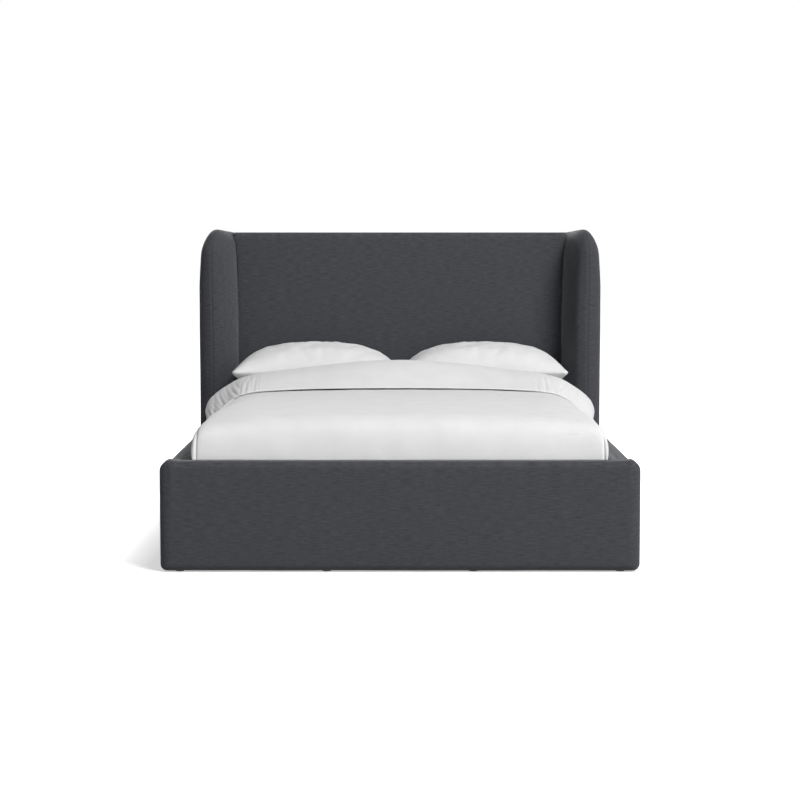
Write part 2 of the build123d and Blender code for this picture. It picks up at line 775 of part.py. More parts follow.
# Pillows
def pillow_section(x, middle_y, fullness, depth, seam_z):
    """A lens across the pillow at x: a full arc above the side seam and a flatter one below."""
    front, back = middle_y - depth / 2, middle_y + depth / 2
    with BuildSketch(Plane.YZ.offset(x)) as section:
        with BuildLine():
            Line((front, seam_z - pillow_seam_height / 2), (front, seam_z + pillow_seam_height / 2))
            crown = (middle_y, seam_z + pillow_seam_height + pillow_crown * fullness)
            ThreePointArc(
                (front, seam_z + pillow_seam_height / 2), crown, (back, seam_z + pillow_seam_height / 2)
            )
            Line((back, seam_z + pillow_seam_height / 2), (back, seam_z - pillow_seam_height / 2))
            belly = (middle_y, seam_z - pillow_seam_height - pillow_belly * fullness)
            ThreePointArc(
                (back, seam_z - pillow_seam_height / 2), belly, (front, seam_z - pillow_seam_height / 2)
            )
        make_face()
    return section.sketch.faces()[0]


def pillow_fullness(share):
    """How full the pillow is at this share of its width from its middle, from 1 there to 0 at its ends."""
    return (1 - abs(2 * share) ** pillow_fullness_power) ** (1 / pillow_fullness_power)


def build_pillows():
    middle_x = pillow_split / 2 + pillow_width / 2
    middle_y = y_headboard_face - pillow_back_gap - pillow_depth / 2
    fullest = max(pillow_fullness(share) for share in pillow_station_shares)
    seam_z = sheet_top + fit_gap + pillow_belly * fullest + pillow_seam_height
    faces = []
    for share in pillow_station_shares:
        fullness = pillow_fullness(share)
        depth = pillow_depth - 2 * pillow_pull_in * fullness
        faces.append(pillow_section(middle_x + share * pillow_width, middle_y, fullness, depth, seam_z))
    with BuildPart() as pillow:
        for low, high in zip(faces, faces[1:]):
            loft([low, high], ruled=True)
    save(pillow.part, "pillow_right")
    save(mirrored(pillow.part), "pillow_left")


if __name__ == "__main__":
    foot_places = foot_bolt_places()
    wing_places = wing_bolt_places()
    foot_holes = bolt_holes(foot_places, bolt_length, bolt_head_height)
    wing_holes = bolt_holes(wing_places, wing_bolt_length, bolt_head_height)
    footboard_outer = build_footboard(joined(foot_holes, mirrored(foot_holes)))
    build_rails(footboard_outer, foot_holes)
    build_headboard(joined(wing_holes, mirrored(wing_holes)))
    build_wings(wing_holes)
    build_hook_plates()
    build_foot_brackets(foot_places)
    build_wing_bolts(wing_places)
    build_deck()
    build_beam()
    build_legs()
    build_glides()
    build_mattress()
    duvet_form = build_duvet()
    build_turndown(duvet_form)
    build_pillows()
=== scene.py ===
# %% [markdown]
# An upholstered wing bed, dressed with a fitted sheet, a turned-down duvet and two pillows.
# The bed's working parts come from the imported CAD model. This file gives them their finishes
# and builds the soft things over them: the padded covers, the mattress and the bedding.
# Everything is in metres. X runs across the bed, +Y from its foot to its head, and +Z up.

from math import cos, pi, radians, sin, tan

import bmesh
import bpy
from mathutils import Matrix, Vector, noise
from mathutils.geometry import interpolate_bezier


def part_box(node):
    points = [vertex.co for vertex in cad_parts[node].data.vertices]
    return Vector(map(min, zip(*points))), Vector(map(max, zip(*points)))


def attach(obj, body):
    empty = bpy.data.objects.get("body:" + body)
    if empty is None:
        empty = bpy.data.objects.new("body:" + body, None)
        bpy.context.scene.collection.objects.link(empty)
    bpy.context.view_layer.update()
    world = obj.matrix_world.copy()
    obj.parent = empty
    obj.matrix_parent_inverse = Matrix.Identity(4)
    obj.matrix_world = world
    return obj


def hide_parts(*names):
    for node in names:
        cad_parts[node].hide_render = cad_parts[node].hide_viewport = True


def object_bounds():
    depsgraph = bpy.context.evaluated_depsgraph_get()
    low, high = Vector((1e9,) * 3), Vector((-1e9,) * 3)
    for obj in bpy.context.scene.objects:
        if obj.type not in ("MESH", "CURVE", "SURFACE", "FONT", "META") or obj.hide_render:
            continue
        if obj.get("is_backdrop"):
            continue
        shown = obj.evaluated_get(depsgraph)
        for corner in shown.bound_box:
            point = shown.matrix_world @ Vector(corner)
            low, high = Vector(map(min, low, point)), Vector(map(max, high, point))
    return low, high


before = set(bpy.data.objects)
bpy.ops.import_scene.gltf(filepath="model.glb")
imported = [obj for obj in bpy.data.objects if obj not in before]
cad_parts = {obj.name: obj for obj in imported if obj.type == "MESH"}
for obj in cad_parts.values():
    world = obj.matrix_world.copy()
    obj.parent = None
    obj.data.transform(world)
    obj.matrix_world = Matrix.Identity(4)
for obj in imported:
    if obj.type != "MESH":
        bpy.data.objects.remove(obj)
cad_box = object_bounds()


def in_scene(name, data):
    made = bpy.data.objects.new(name, data)
    bpy.context.scene.collection.objects.link(made)
    return made



# %% [markdown]
# The camera stands in front of the foot end, a little above the pillows, and looks down by
# a few degrees. It could be placed by eye, but a long lens from a known distance keeps the
# bed's proportions as they are, so its numbers are written down first.

# %% Set the camera
camera_distance = 6.9
camera_height = 1.2092
camera_pitch_deg = 4.782
camera_lens = 86.08

camera_data = bpy.data.cameras.new("camera")
camera_data.lens = camera_lens
camera_data.clip_end = 200
camera = in_scene("camera", camera_data)
camera.location = (0, cad_box[0].y - camera_distance, camera_height)
camera.rotation_euler = (radians(90 - camera_pitch_deg), 0, 0)
bpy.context.scene.camera = camera
print("camera at", [round(c, 3) for c in camera.location])

# %% [markdown]
# Finishes are built from nodes. A small helper that adds a node, sets its values and links
# its inputs keeps each finish readable as a short recipe, like a list of layers of paint.


# %% A helper for recipes of nodes
class Recipe:
    """The node tree of a finish or of the sky, with short ways to add its nodes."""

    def __init__(self, owner, shader="Principled BSDF", **values):
        owner.use_nodes = True
        self.owner = owner
        self.tree = owner.node_tree
        self.shader = self.tree.nodes[shader]
        self.feed(self.shader, **values)

    def feed(self, node, **values):
        """Links or sets inputs, given by name with _ for a space, or by i and a number."""
        for key, value in values.items():
            numbered = key[1:].isdigit()
            socket = node.inputs[int(key[1:]) if numbered else key.replace("_", " ")]
            if isinstance(value, bpy.types.NodeSocket):
                self.tree.links.new(value, socket)
            else:
                socket.default_value = (*value, 1) if socket.type == "RGBA" else value

    def add(self, kind, settings=None, **values):
        node = self.tree.nodes.new("ShaderNode" + kind)
        for key, value in (settings or {}).items():
            setattr(node, key, value)
        self.feed(node, **values)
        return node

    def place(self, source="Object", scale=(1, 1, 1)):
        """Where a point is on the piece, stretched to give a pattern its length each way."""
        coordinates = self.add("TexCoord").outputs[source]
        return self.add("Mapping", Vector=coordinates, Scale=scale).outputs["Vector"]

    def mix(self, share, first, second):
        """A colour between two: the first at share 0, the second at share 1."""
        return self.add("Mix", {"data_type": "RGBA"}, i0=share, i6=first, i7=second).outputs[2]

    def maths(self, operation, first, second):
        return self.add("Math", {"operation": operation}, i0=first, i1=second).outputs[0]

    def total(self, *parts):
        """The sum of some values, each times its own weight."""
        terms = [self.maths("MULTIPLY", value, weight) for value, weight in parts]
        result = terms[0]
        for term in terms[1:]:
            result = self.maths("ADD", result, term)
        return result

    def noise(self, place, scale=1, detail=2, roughness=0.5):
        node = self.add("TexNoise", Vector=place, Scale=scale, Detail=detail, Roughness=roughness)
        return node.outputs["Fac"]

    def threads(self, place, scale, direction, distortion):
        settings = {"wave_type": "BANDS", "bands_direction": direction, "wave_profile": "SIN"}
        values = {"Vector": place, "Scale": scale, "Distortion": distortion, "Detail": 1}
        return self.add("TexWave", settings, **values).outputs["Fac"]

    def span(self, value, low, high, to_low=0, to_high=1):
        """A value's place between low and high, given as a place between two others."""
        ends = {"From_Min": low, "From_Max": high, "To_Min": to_low, "To_Max": to_high}
        return self.add("MapRange", None, Value=value, **ends).outputs["Result"]

    def finish(self, colour, height, depth, strength, gloss=None):
        """Feeds the shader: colour, fine relief of a real depth in metres, and uneven gloss."""
        bump = self.add("Bump", Height=height, Distance=depth, Strength=strength)
        self.feed(self.shader, Base_Color=colour, Normal=bump.outputs["Normal"])
        if gloss is not None:
            self.feed(self.shader, Roughness=gloss)
        return self.owner


def new_finish(name, **values):
    return Recipe(bpy.data.materials.new(name), **values)


def wave_scale(pitch):
    """The scale at which a wave texture draws threads about this far apart."""
    return 1 / pitch / (2 * pi) * 2


# %% [markdown]
# The cover is a charcoal linen-look cloth: thick and thin yarns, so each row of the weave
# has slubs, which show as short darker and lighter dashes across the panel. The weave lies
# along the cloth, not along the room, so it is drawn on each piece's own map, in metres.

# %% Charcoal linen
linen_pitch = 0.0011
linen_dark = (0.0413, 0.0429, 0.0482)
linen_light = (0.0816, 0.0853, 0.0949)

# How many times in a metre each pattern changes: across the cloth, and up it
slub_scale = (24, 380, 1)
cross_slub_scale = (380, 34, 1)
mottle_scale = (55, 75, 1)


def linen_finish():
    sheen = {"Sheen_Weight": 0.45, "Sheen_Roughness": 0.3}
    linen = new_finish("charcoal_linen", Roughness=0.9, Specular_IOR_Level=0.12, **sheen)
    cloth = linen.place("UV")
    weft, warp = (linen.threads(cloth, wave_scale(linen_pitch), way, 0.6) for way in "YX")
    slubs = linen.noise(linen.place("UV", slub_scale))
    cross_slubs = linen.noise(linen.place("UV", cross_slub_scale))
    mottle = linen.noise(linen.place("UV", mottle_scale), 1, 3, 0.55)
    weave = linen.maths("MULTIPLY", weft, warp)
    tone = linen.total((slubs, 0.8), (cross_slubs, 0.2), (mottle, 0.2), (weave, 0.2))
    colour = linen.mix(linen.span(tone, 0.42, 0.92), linen_dark, linen_light)
    height = linen.total((weave, 0.5), (slubs, 0.5))
    gloss = linen.span(slubs, 0, 1, 0.82, 0.96)
    return linen.finish(colour, height, 0.0006, 0.55, gloss)


linen = linen_finish()
print("made", linen.name)

# %% [markdown]
# The bedding is white brushed cotton. A white cloth is never pure white, or its folds would
# vanish: about three quarters of the light comes back. The yarns are finer than the camera
# can see, so what tells it is cloth is the soft sheen and a faint unevenness from washing.

# %% White cotton
cotton_pitch = 0.0009
cotton_white = (0.765, 0.765, 0.768)
cotton_shade = (0.735, 0.735, 0.74)


def cotton_finish(name, crumple, crumple_scale):
    cotton = new_finish(name, Roughness=0.88, Sheen_Weight=0.1, Specular_IOR_Level=0.25)
    place = cotton.place()
    ways = ("X", "DIAGONAL")
    warp, weft = (cotton.threads(place, wave_scale(cotton_pitch), way, 0.4) for way in ways)
    weave = cotton.maths("MULTIPLY", warp, weft)
    soft = cotton.noise(place, crumple_scale, 3)
    fine = cotton.noise(place, crumple_scale * 6)
    relief = cotton.total((soft, crumple), (weave, 0.04), (fine, crumple * 0.14))
    colour = cotton.mix(cotton.span(soft, 0.35, 0.65), cotton_shade, cotton_white)
    return cotton.finish(colour, relief, 0.004, 0.5, cotton.span(fine, 0, 1, 0.82, 0.94))


duvet_cotton = cotton_finish("brushed_cotton_duvet", 0.5, 11)
pillow_cotton = cotton_finish("brushed_cotton_pillow", 0.55, 14)
sheet_cotton = cotton_finish("cotton_percale", 0.3, 20)
print("made", duvet_cotton.name, pillow_cotton.name, sheet_cotton.name)

# %% [markdown]
# What is under the bedding shows when the mattress is lifted off: pale softwood slats and
# ledgers with their grain along each length, woven tape, black powder-coated steel, zinc
# bolts, black plastic glides and the mattress's quilted ticking.

# %% Timber, steel, plastic, tape and ticking
wood_dark = (0.55, 0.37, 0.2)
wood_light = (0.72, 0.55, 0.35)
wood_pore = (0.42, 0.27, 0.14)


def timber_finish(name, along):
    """Softwood: long streaks of early and late growth along the piece, with fine pores."""
    timber = new_finish(name, Roughness=0.62)
    lengthways = tuple(2.2 if axis == along else 34 for axis in "XYZ")
    fine_ways = tuple(9 if axis == along else 420 for axis in "XYZ")
    rings = timber.noise(timber.place("Object", lengthways), 1, 4, 0.6)
    pores = timber.noise(timber.place("Object", fine_ways))
    bands = timber.threads(timber.place("Object", lengthways), 1.4, "DIAGONAL", 5)
    share = timber.total((rings, 0.6), (bands, 0.4))
    wood = timber.mix(timber.span(share, 0.2, 0.8), wood_dark, wood_light)
    wood = timber.mix(timber.span(pores, 0.35, 0.75, 0, 0.35), wood, wood_pore)
    return timber.finish(wood, pores, 0.0006, 0.4, timber.span(rings, 0, 1, 0.5, 0.72))


def steel_finish(name, dark, light, roughness, metallic, grain):
    steel = new_finish(name, Roughness=roughness, Metallic=metallic)
    place = steel.place()
    speckle = steel.noise(place, grain, 2, 0.6)
    wear = steel.noise(place, 18, 4, 0.6)
    colour = steel.mix(steel.span(wear, 0.3, 0.7), dark, light)
    gloss = steel.span(wear, 0.2, 0.8, roughness - 0.08, roughness + 0.08)
    return steel.finish(colour, speckle, 0.0004, 0.35, gloss)


def tape_finish():
    tape = new_finish("woven_tape", Roughness=0.85, Sheen_Weight=0.2)
    place = tape.place()
    ribs = tape.threads(place, 260, "DIAGONAL", 0.3)
    shade = tape.maths("MULTIPLY", ribs, tape.threads(place, 150, "X", 0.2))
    return tape.finish(tape.mix(shade, (0.5, 0.48, 0.44), (0.82, 0.8, 0.74)), ribs, 0.0008, 0.5)


def ticking_finish():
    ticking = new_finish("quilted_ticking", Roughness=0.85, Sheen_Weight=0.25)
    place = ticking.place()
    knit = ticking.threads(place, 320, "DIAGONAL", 0.5)
    cloud = ticking.span(ticking.noise(place, 9), 0.4, 0.6, 0, 0.2)
    colour = ticking.mix(ticking.span(knit, 0, 1), (0.66, 0.66, 0.65), (0.8, 0.8, 0.79))
    return ticking.finish(ticking.mix(cloud, colour, (0.62, 0.64, 0.68)), knit, 0.0008, 0.5)


def plastic_finish():
    plastic = new_finish("glide_plastic", Roughness=0.5)
    grain = plastic.noise(plastic.place(), 900)
    share = plastic.span(grain, 0.3, 0.7)
    colour = plastic.mix(share, (0.018, 0.018, 0.019), (0.036, 0.036, 0.038))
    return plastic.finish(colour, grain, 0.0003, 0.4)


timber_across = timber_finish("softwood_across", "X")
timber_along = timber_finish("softwood_along", "Y")
timber_upright = timber_finish("softwood_upright", "Z")
powder_dark, powder_light = (0.018, 0.018, 0.02), (0.034, 0.034, 0.037)
black_steel = steel_finish("powder_coat", powder_dark, powder_light, 0.5, 0, 900)
zinc = steel_finish("zinc_plate", (0.5, 0.51, 0.53), (0.66, 0.67, 0.68), 0.34, 1, 300)
tape = tape_finish()
ticking = ticking_finish()
plastic = plastic_finish()
print("finishes:", len(bpy.data.materials))

# %% [markdown]
# A CAD node whose shape is right keeps its mesh and only takes a finish. Which finish goes
# where follows from the node's name, so the table pairs each finish with the starts of the
# names that take it. The first row that fits counts, so bolts stand above their brackets.

# %% Finish the CAD nodes
finish_starts = (
    (tape, "slat_strap"),
    (zinc, "foot_bracket_bolts wing_bolts mattress_spring"),
    (black_steel, "levelling_foot beam_hanger foot_bracket rail_hook wing_slot"),
    (plastic, "panel_glides"),
    (timber_across, "slat_ head_cleats footboard_frame headboard_frame"),
    (timber_along, "ledger_ middle_beam"),
    (timber_upright, "middle_leg"),
)
finish_ends = ((timber_along, "_board"), (timber_upright, "_frame"))
for name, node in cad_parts.items():
    fitting = [f for f, starts in finish_starts if name.startswith(tuple(starts.split()))]
    fitting += [f for f, end in finish_ends if name.endswith(end)]
    if fitting:
        node.data.materials.clear()
        node.data.materials.append(fitting[0])

# %% [markdown]
# Padded panels all start the same way: a cube of the panel's size, its outline corners
# rounded, then its rims. Large flat faces can't swell, so the form is then sliced by
# parallel planes, which leaves a net of points that can be pushed in and out like foam.

# %% Helpers to shape padded forms
X, Y, Z = range(3)
bell_base = 2.718  # About e, for bumps and furrows with soft shoulders
touching = 1e-4  # How near a place an edge has to be to count as on it
same_point = 1e-5


def block_between(low, high):
    """A cube moved and scaled to lie between two corners."""
    bm = bmesh.new()
    bmesh.ops.create_cube(bm, size=1)
    bmesh.ops.scale(bm, vec=Vector(high) - Vector(low), verts=bm.verts)
    bmesh.ops.translate(bm, vec=(Vector(low) + Vector(high)) / 2, verts=bm.verts)
    return bm


def edges_where(bm, direction_test, ends_test):
    """The edges whose direction passes one test and whose two ends pass another."""
    pairs = [(edge, *(v.co for v in edge.verts)) for edge in bm.edges]
    return [e for e, a, b in pairs if direction_test((b - a).normalized()) and ends_test(a, b)]


def edges_along(bm, axis, ends_test=lambda a, b: True):
    return edges_where(bm, lambda way: abs(way[axis]) > 0.9, ends_test)


def edges_square_to(bm, axis, ends_test):
    return edges_where(bm, lambda way: abs(way[axis]) < 0.1, ends_test)


def rounded(bm, edges, radius, segments):
    shape = {"offset_type": "OFFSET", "profile": 0.5, "affect": "EDGES", "clamp_overlap": True}
    bmesh.ops.bevel(bm, geom=edges, offset=radius, segments=segments, material=-1, **shape)


def everything(bm):
    return bm.verts[:] + bm.edges[:] + bm.faces[:]


def cut(bm, geom, place, way, **options):
    options = {"dist": same_point, "plane_co": place, "plane_no": way, **options}
    return bmesh.ops.bisect_plane(bm, geom=geom, **options)


def sliced_at(bm, axis, places):
    """Cuts the form by planes across one axis, without taking anything away."""
    way = Vector([float(i == axis) for i in range(3)])
    for place in places:
        cut(bm, everything(bm), way * place, way)


def sliced(bm, spacing, *axes):
    """Cuts the form into even slices along each axis."""
    for axis in axes:
        low = min(v.co[axis] for v in bm.verts)
        high = max(v.co[axis] for v in bm.verts)
        count = round((high - low) / spacing)
        sliced_at(bm, axis, [low + (high - low) * i / count for i in range(1, count)])


def beside(line, *ways):
    """The places of the cuts that a seam needs: on its line and on both sides of it."""
    return sorted({line + side * way for way in (0, *ways) for side in (-1, 1)})


def swell(share, power):
    """How far foam stands out at a share of the way from a panel's middle to its edge."""
    return max(0.0, 1 - abs(share) ** power)


def groove(distance, width):
    """A rounded furrow: 1 on its line, falling towards 0 beyond its width."""
    return bell_base ** (-((distance / width) ** 2))


def smooth_step(t):
    t = min(max(t, 0.0), 1.0)
    return t * t * (3 - 2 * t)


def share_of_way(place, low, high):
    """-1 at the low end, 0 halfway and 1 at the high end."""
    return (place - low) / (high - low) * 2 - 1


def side_of(x):
    return 1 if x > 0 else -1


def drift(point, scale, seed):
    """A smooth unevenness between -1 and 1, the same in each run."""
    return noise.noise(Vector(point) * scale + Vector((seed, seed * 2.7, seed * 5.1)))


def push(bm, amount):
    """Moves each point along its normal by an amount worked out from where it is."""
    bm.normal_update()
    moves = [(v, v.normal * amount(v.co, v.normal)) for v in bm.verts]
    for v, move in moves:
        v.co += move


# %% [markdown]
# Cloth patterns need a map. Each panel's cover runs from its face over its edges, so the
# map does too: on the faces that look forward it counts across and up, and it goes on over
# the top without a break, where a box map would show a seam.


# %% Helpers to map the cloth and make the finished piece
def face_map(co, normal):
    """A map for a panel across the bed: across, and up the face and on over its top."""
    if abs(normal.x) > max(abs(normal.y), abs(normal.z)):
        return co.y, co.z
    return co.x, co.z - co.y if normal.y < 0 or normal.z > 0.7 else co.z + co.y


def lay_cloth(bm, cloth_map):
    layer = bm.loops.layers.uv.new("cloth")
    bm.normal_update()
    for face in bm.faces:
        for loop in face.loops:
            loop[layer].uv = cloth_map(loop.vert.co, face.normal)


def mesh_object(name, bm, *finishes):
    mesh = bpy.data.meshes.new(name)
    bm.to_mesh(mesh)
    for finish in finishes:
        mesh.materials.append(finish)
    return in_scene(name, mesh)


def piece(name, bm, finish, body, replaced=()):
    """Turns a finished bmesh into an object at the origin that rides on a body."""
    made = mesh_object(name, bm, finish)
    made.data.shade_smooth()
    bm.free()
    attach(made, body)
    if replaced:
        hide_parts(*replaced)
    low, high = ([round(c, 3) for c in made.bound_box[corner]] for corner in (0, 6))
    print(name, "faces", len(made.data.polygons), "from", low, "to", high)
    return made


def linen_cover(name, bm, fill, *replaced):
    """A cover in the place of the CAD's own cover and foam, which it hides."""
    cover = piece(name, bm, linen, "bed_frame", replaced)


def both_sides(bm):
    """The form for each side of the bed, the left one's faces turned to look outwards again."""
    twin = bm.copy()
    bmesh.ops.scale(twin, vec=(-1, 1, 1), verts=twin.verts)
    bmesh.ops.reverse_faces(twin, faces=twin.faces)
    return ("left", twin), ("right", bm)


# %% [markdown]
# Two woven tapes tie the slats together, so that they keep their spacing. A tape is flat
# where it crosses a slat, hangs a little in each gap, and is held by two staples at each
# crossing. It starts as a long thin block, cut across often enough to bend.

# %% Tapes over the slats
tape_low, tape_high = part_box("slat_straps")
tape_width = 0.032
tape_sag = 0.0025
tape_x = tape_high.x - tape_width / 2
staple_size = (0.011, 0.0011, 0.0009)
staple_offset = 0.015
staple_sunk = 0.0003
slat_names = [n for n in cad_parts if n.startswith("slat_") and n[5:].isdigit()]
slats = sorted((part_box(name) for name in slat_names), key=lambda box: box[0].y)


def tape_drop(y):
    """How far a tape hangs at y: nothing on a slat, most in the middle of a gap."""
    for below, above in zip(slats, slats[1:]):
        start, end = below[1].y, above[0].y
        if start < y < end:
            share = (y - start) / (end - start)
            return tape_sag * 4 * share * (1 - share)
    return 0.0


def doubled(bm):
    """Adds the same form again for the other side of the bed."""
    twin = bmesh.ops.duplicate(bm, geom=everything(bm))["geom"]
    twin_verts = [v for v in twin if isinstance(v, bmesh.types.BMVert)]
    bmesh.ops.translate(bm, vec=(-2 * tape_x, 0, 0), verts=twin_verts)
    return bm


def tape_form():
    start = (tape_x - tape_width / 2, tape_low.y, tape_low.z)
    bm = block_between(start, (tape_x + tape_width / 2, tape_high.y, tape_high.z))
    rounded(bm, edges_along(bm, Y), 0.0006, 2)
    sliced(bm, 0.012, Y)
    for v in bm.verts:
        v.co.z -= tape_drop(v.co.y)
    return doubled(bm)


def staples_form():
    bm = bmesh.new()
    for slat_low, slat_high in slats:
        for way in (-staple_offset, staple_offset):
            y = (slat_low.y + slat_high.y) / 2 + way
            made = bmesh.ops.create_cube(bm, size=1)["verts"]
            bmesh.ops.scale(bm, vec=staple_size, verts=made)
            bmesh.ops.translate(bm, vec=(tape_x, y, tape_high.z - staple_sunk), verts=made)
    rounded(bm, bm.edges[:], 0.0002, 1)
    return doubled(bm)


piece("slat_tapes", tape_form(), tape, "bed_frame", ("slat_straps",))
piece("tape_staples", staples_form(), zinc, "bed_frame")

# %% [markdown]
# The footboard is a low padded board right across the foot of the bed. Foam over plywood
# makes a nearly flat face with soft edges; where the cloth is pulled round the two top
# corners it gathers into a slight hump. A seam closes the cover down each end.

# %% Footboard
footboard_low, footboard_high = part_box("footboard_cover")
footboard_half = footboard_high.x
footboard_middle = (footboard_low.y + footboard_high.y) / 2
footboard_corner = 0.038
footboard_foot = 0.025
footboard_edge = 0.026
footboard_end = 0.048
end_blunt = 0.2
end_roundness = 2.3


def footboard_relief(co, normal):
    across = co.x / footboard_half
    up = share_of_way(co.z, footboard_low.z, footboard_high.z)
    front = abs(normal.y)
    crown = 0.0035 * front * swell(across, 12) * swell(up, 6)
    soft = 0.0014 * drift(co, 5, 3) + 0.0005 * drift(co, 21, 8)
    hump = 0.004 * max(normal.z, 0) * groove(abs(co.x) - footboard_half + 0.032, 0.016)
    end_seam = -0.0009 * groove(co.y - footboard_middle, 0.004) * abs(normal.x)
    pulled = groove(abs(co.x) - footboard_half + 0.03, 0.006)
    corner_pull = -0.0018 * pulled * front * smooth_step(up)
    return crown + soft * (0.4 + 0.6 * front) + hump + end_seam + corner_pull


def round_ends(bm):
    """Draws both faces in towards each end, which is nearly half round seen from above."""
    half = (footboard_high.y - footboard_low.y) / 2
    for v in bm.verts:
        way = footboard_half - abs(v.co.x)
        if way < footboard_end:
            bevelled = 1 - max(1 - way / footboard_edge, 0) ** 2
            now = half - footboard_edge * (1 - bevelled**0.5)
            bow = (1 - (1 - way / footboard_end) ** end_roundness) ** (1 / end_roundness)
            goal = half * (end_blunt + (1 - end_blunt) * bow)
            v.co.y = footboard_middle + (v.co.y - footboard_middle) * goal / now


def on_a_face(a, b):
    return min(abs(a.y - footboard_low.y), abs(a.y - footboard_high.y)) < touching


def long_edges_rounded(bm, top_radius, top_segments, foot_radius, foot_segments):
    """Rounds a board's edges along Y, first the upper ones and then the lower ones."""
    rounded(bm, edges_along(bm, Y, lambda a, b: a.z > 0.2), top_radius, top_segments)
    rounded(bm, edges_along(bm, Y, lambda a, b: a.z < 0.1), foot_radius, foot_segments)


def footboard_form():
    bm = block_between(footboard_low, footboard_high)
    long_edges_rounded(bm, footboard_corner, 8, footboard_foot, 6)
    rounded(bm, edges_square_to(bm, Y, on_a_face), footboard_edge, 7)
    sliced(bm, 0.016, X)
    end_cuts = (0.03, 0.036, 0.042, 0.048)
    sliced_at(bm, X, [side * (footboard_half - way) for side in (-1, 1) for way in end_cuts])
    sliced(bm, 0.014, Z)
    sliced_at(bm, Y, beside(footboard_middle, 0.0025, 0.005, 0.01))
    round_ends(bm)
    push(bm, footboard_relief)
    lay_cloth(bm, face_map)
    return bm


footboard_bm = footboard_form()
linen_cover("footboard_upholstery", footboard_bm, 0.95, "footboard_cover", "footboard_foam")

# %% [markdown]
# Each side rail is a padded board on edge that runs from the footboard into a pocket in
# the wing. Foam under a long cover is never quite even, so its top line waves by a
# millimetre or two, which also shows in the bed's outline.

# %% Side rails
rail_low, rail_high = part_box("side_rail_right_cover")
rail_top_radius = 0.032
rail_foot_radius = 0.012


def rail_relief(co, normal):
    up = share_of_way(co.z, rail_low.z, rail_high.z)
    crown = 0.003 * abs(normal.x) * swell(up, 4)
    waves = 0.0016 * drift((0, co.y, 0), 3.1, 5) * max(normal.z, 0)
    seam = -0.002 * groove(co.x - rail_high.x + 0.012, 0.003) * max(normal.z, 0)
    return crown + waves + seam + 0.0009 * drift(co, 7, 2)


def rail_map(co, normal):
    """Along the rail, and up its outer side and on over its top."""
    if abs(normal.y) > 0.7:
        return co.x, co.z
    return co.y, co.z - co.x if normal.x > -0.3 else co.z + co.x


def rail_form():
    bm = block_between(rail_low, rail_high)
    long_edges_rounded(bm, rail_top_radius, 9, rail_foot_radius, 4)
    sliced(bm, 0.02, Y, Z)
    push(bm, rail_relief)
    lay_cloth(bm, rail_map)
    return bm


for side, bm in both_sides(rail_form()):
    replaced = (f"side_rail_{side}_cover", f"side_rail_{side}_foam")
    linen_cover(f"side_rail_{side}_upholstery", bm, 0.95, *replaced)

# %% [markdown]
# The headboard panel is one plain padded field between the wings. Its sides slant to meet
# them, and near the top they lean out with the wings, so that no gap opens. At the back the
# cover ends in a closing cloth, tacked round inside the edges, which leaves a furrow.

# %% Headboard
headboard_low, headboard_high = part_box("headboard_cover")
headboard_depth = headboard_high.y - headboard_low.y
headboard_top_radius = 0.030
headboard_side_radius = 0.009
wing_flare = radians(19)
back_inset = 0.036
back_cloth_margin = 0.04
crease_fill = 1.25
crease_from = 0.05
crease_blend = 0.045


def crease_lean(height):
    """How far out of the panel's straight side its crease with the wing stands, by height."""
    out = 0.030 * bell_base ** ((height - 1.26) / 0.048)
    return out - 0.0065 * smooth_step((1.12 - height) / 0.3)


def headboard_relief(co, normal):
    up = share_of_way(co.z, headboard_low.z, headboard_high.z)
    front = max(-normal.y, 0)
    crown = 0.007 * front * swell(co.x / headboard_high.x, 8) * swell(up, 8)
    from_side = headboard_high.x - back_inset - abs(co.x)
    inside = min(from_side, headboard_high.z - co.z, co.z - headboard_low.z)
    tacks = -0.0025 * groove(inside - back_cloth_margin, 0.004) * max(normal.y, 0)
    return crown + tacks + 0.0012 * drift(co, 4, 6) * abs(normal.y)


def headboard_form():
    bm = block_between(headboard_low, headboard_high)
    for v in bm.verts:
        if v.co.y > (headboard_low.y + headboard_high.y) / 2:
            v.co.x -= headboard_depth * tan(wing_flare) * side_of(v.co.x)
    rounded(bm, edges_along(bm, X, lambda a, b: a.z > 0.6), headboard_top_radius, 8)
    front_uprights = edges_along(bm, Z, lambda a, b: abs(a.x) > headboard_high.x - 0.004)
    rounded(bm, front_uprights, headboard_side_radius, 4)
    sliced(bm, 0.02, X, Z)
    push(bm, headboard_relief)
    for v in bm.verts:
        side_here = headboard_high.x - (v.co.y - headboard_low.y) * tan(wing_flare)
        way_out = smooth_step((abs(v.co.x) - side_here + crease_from) / crease_blend)
        v.co.x += max(crease_fill * crease_lean(v.co.z), 0) * way_out * side_of(v.co.x)
    lay_cloth(bm, face_map)
    return bm


headboard_bm = headboard_form()
linen_cover("headboard_upholstery", headboard_bm, 0.95, "headboard_cover", "headboard_foam")

# %% [markdown]
# A wing is a tall, thick cushion on edge. It stands beside the headboard, opens outwards by
# its flare and rounds over at the top of its front. Its inner face is stuffed fuller than
# the rest, so light rolls across it, and a seam runs down its front where the inner and
# outer covers meet. It is shaped lying square to its own axes, and then turned into place.

# %% Wings
wing_thickness = 0.110
wing_reach = 0.222
wing_height = 1.268
wing_back_drop = 0.031
wing_corner = 0.140
wing_nose = 0.053
wing_hinge = Vector((0.770, headboard_low.y, 0))
wing_turn = Matrix.Translation(wing_hinge) @ Matrix.Rotation(wing_flare, 4, "Z")
wing_seam = 0.034
wing_spare = 0.05

# The wing grows thinner in two steps: how much, from which height, and over what height
wing_tapers = ((0.0125, 0.975, 0.225), (0.0085, 1.15, 0.10))

# Heights at which the wing's timber is cut, so that it can bend like the padding
timber_cuts = (0.95, 1.03, 1.09, 1.14, 1.17, 1.195, 1.215)


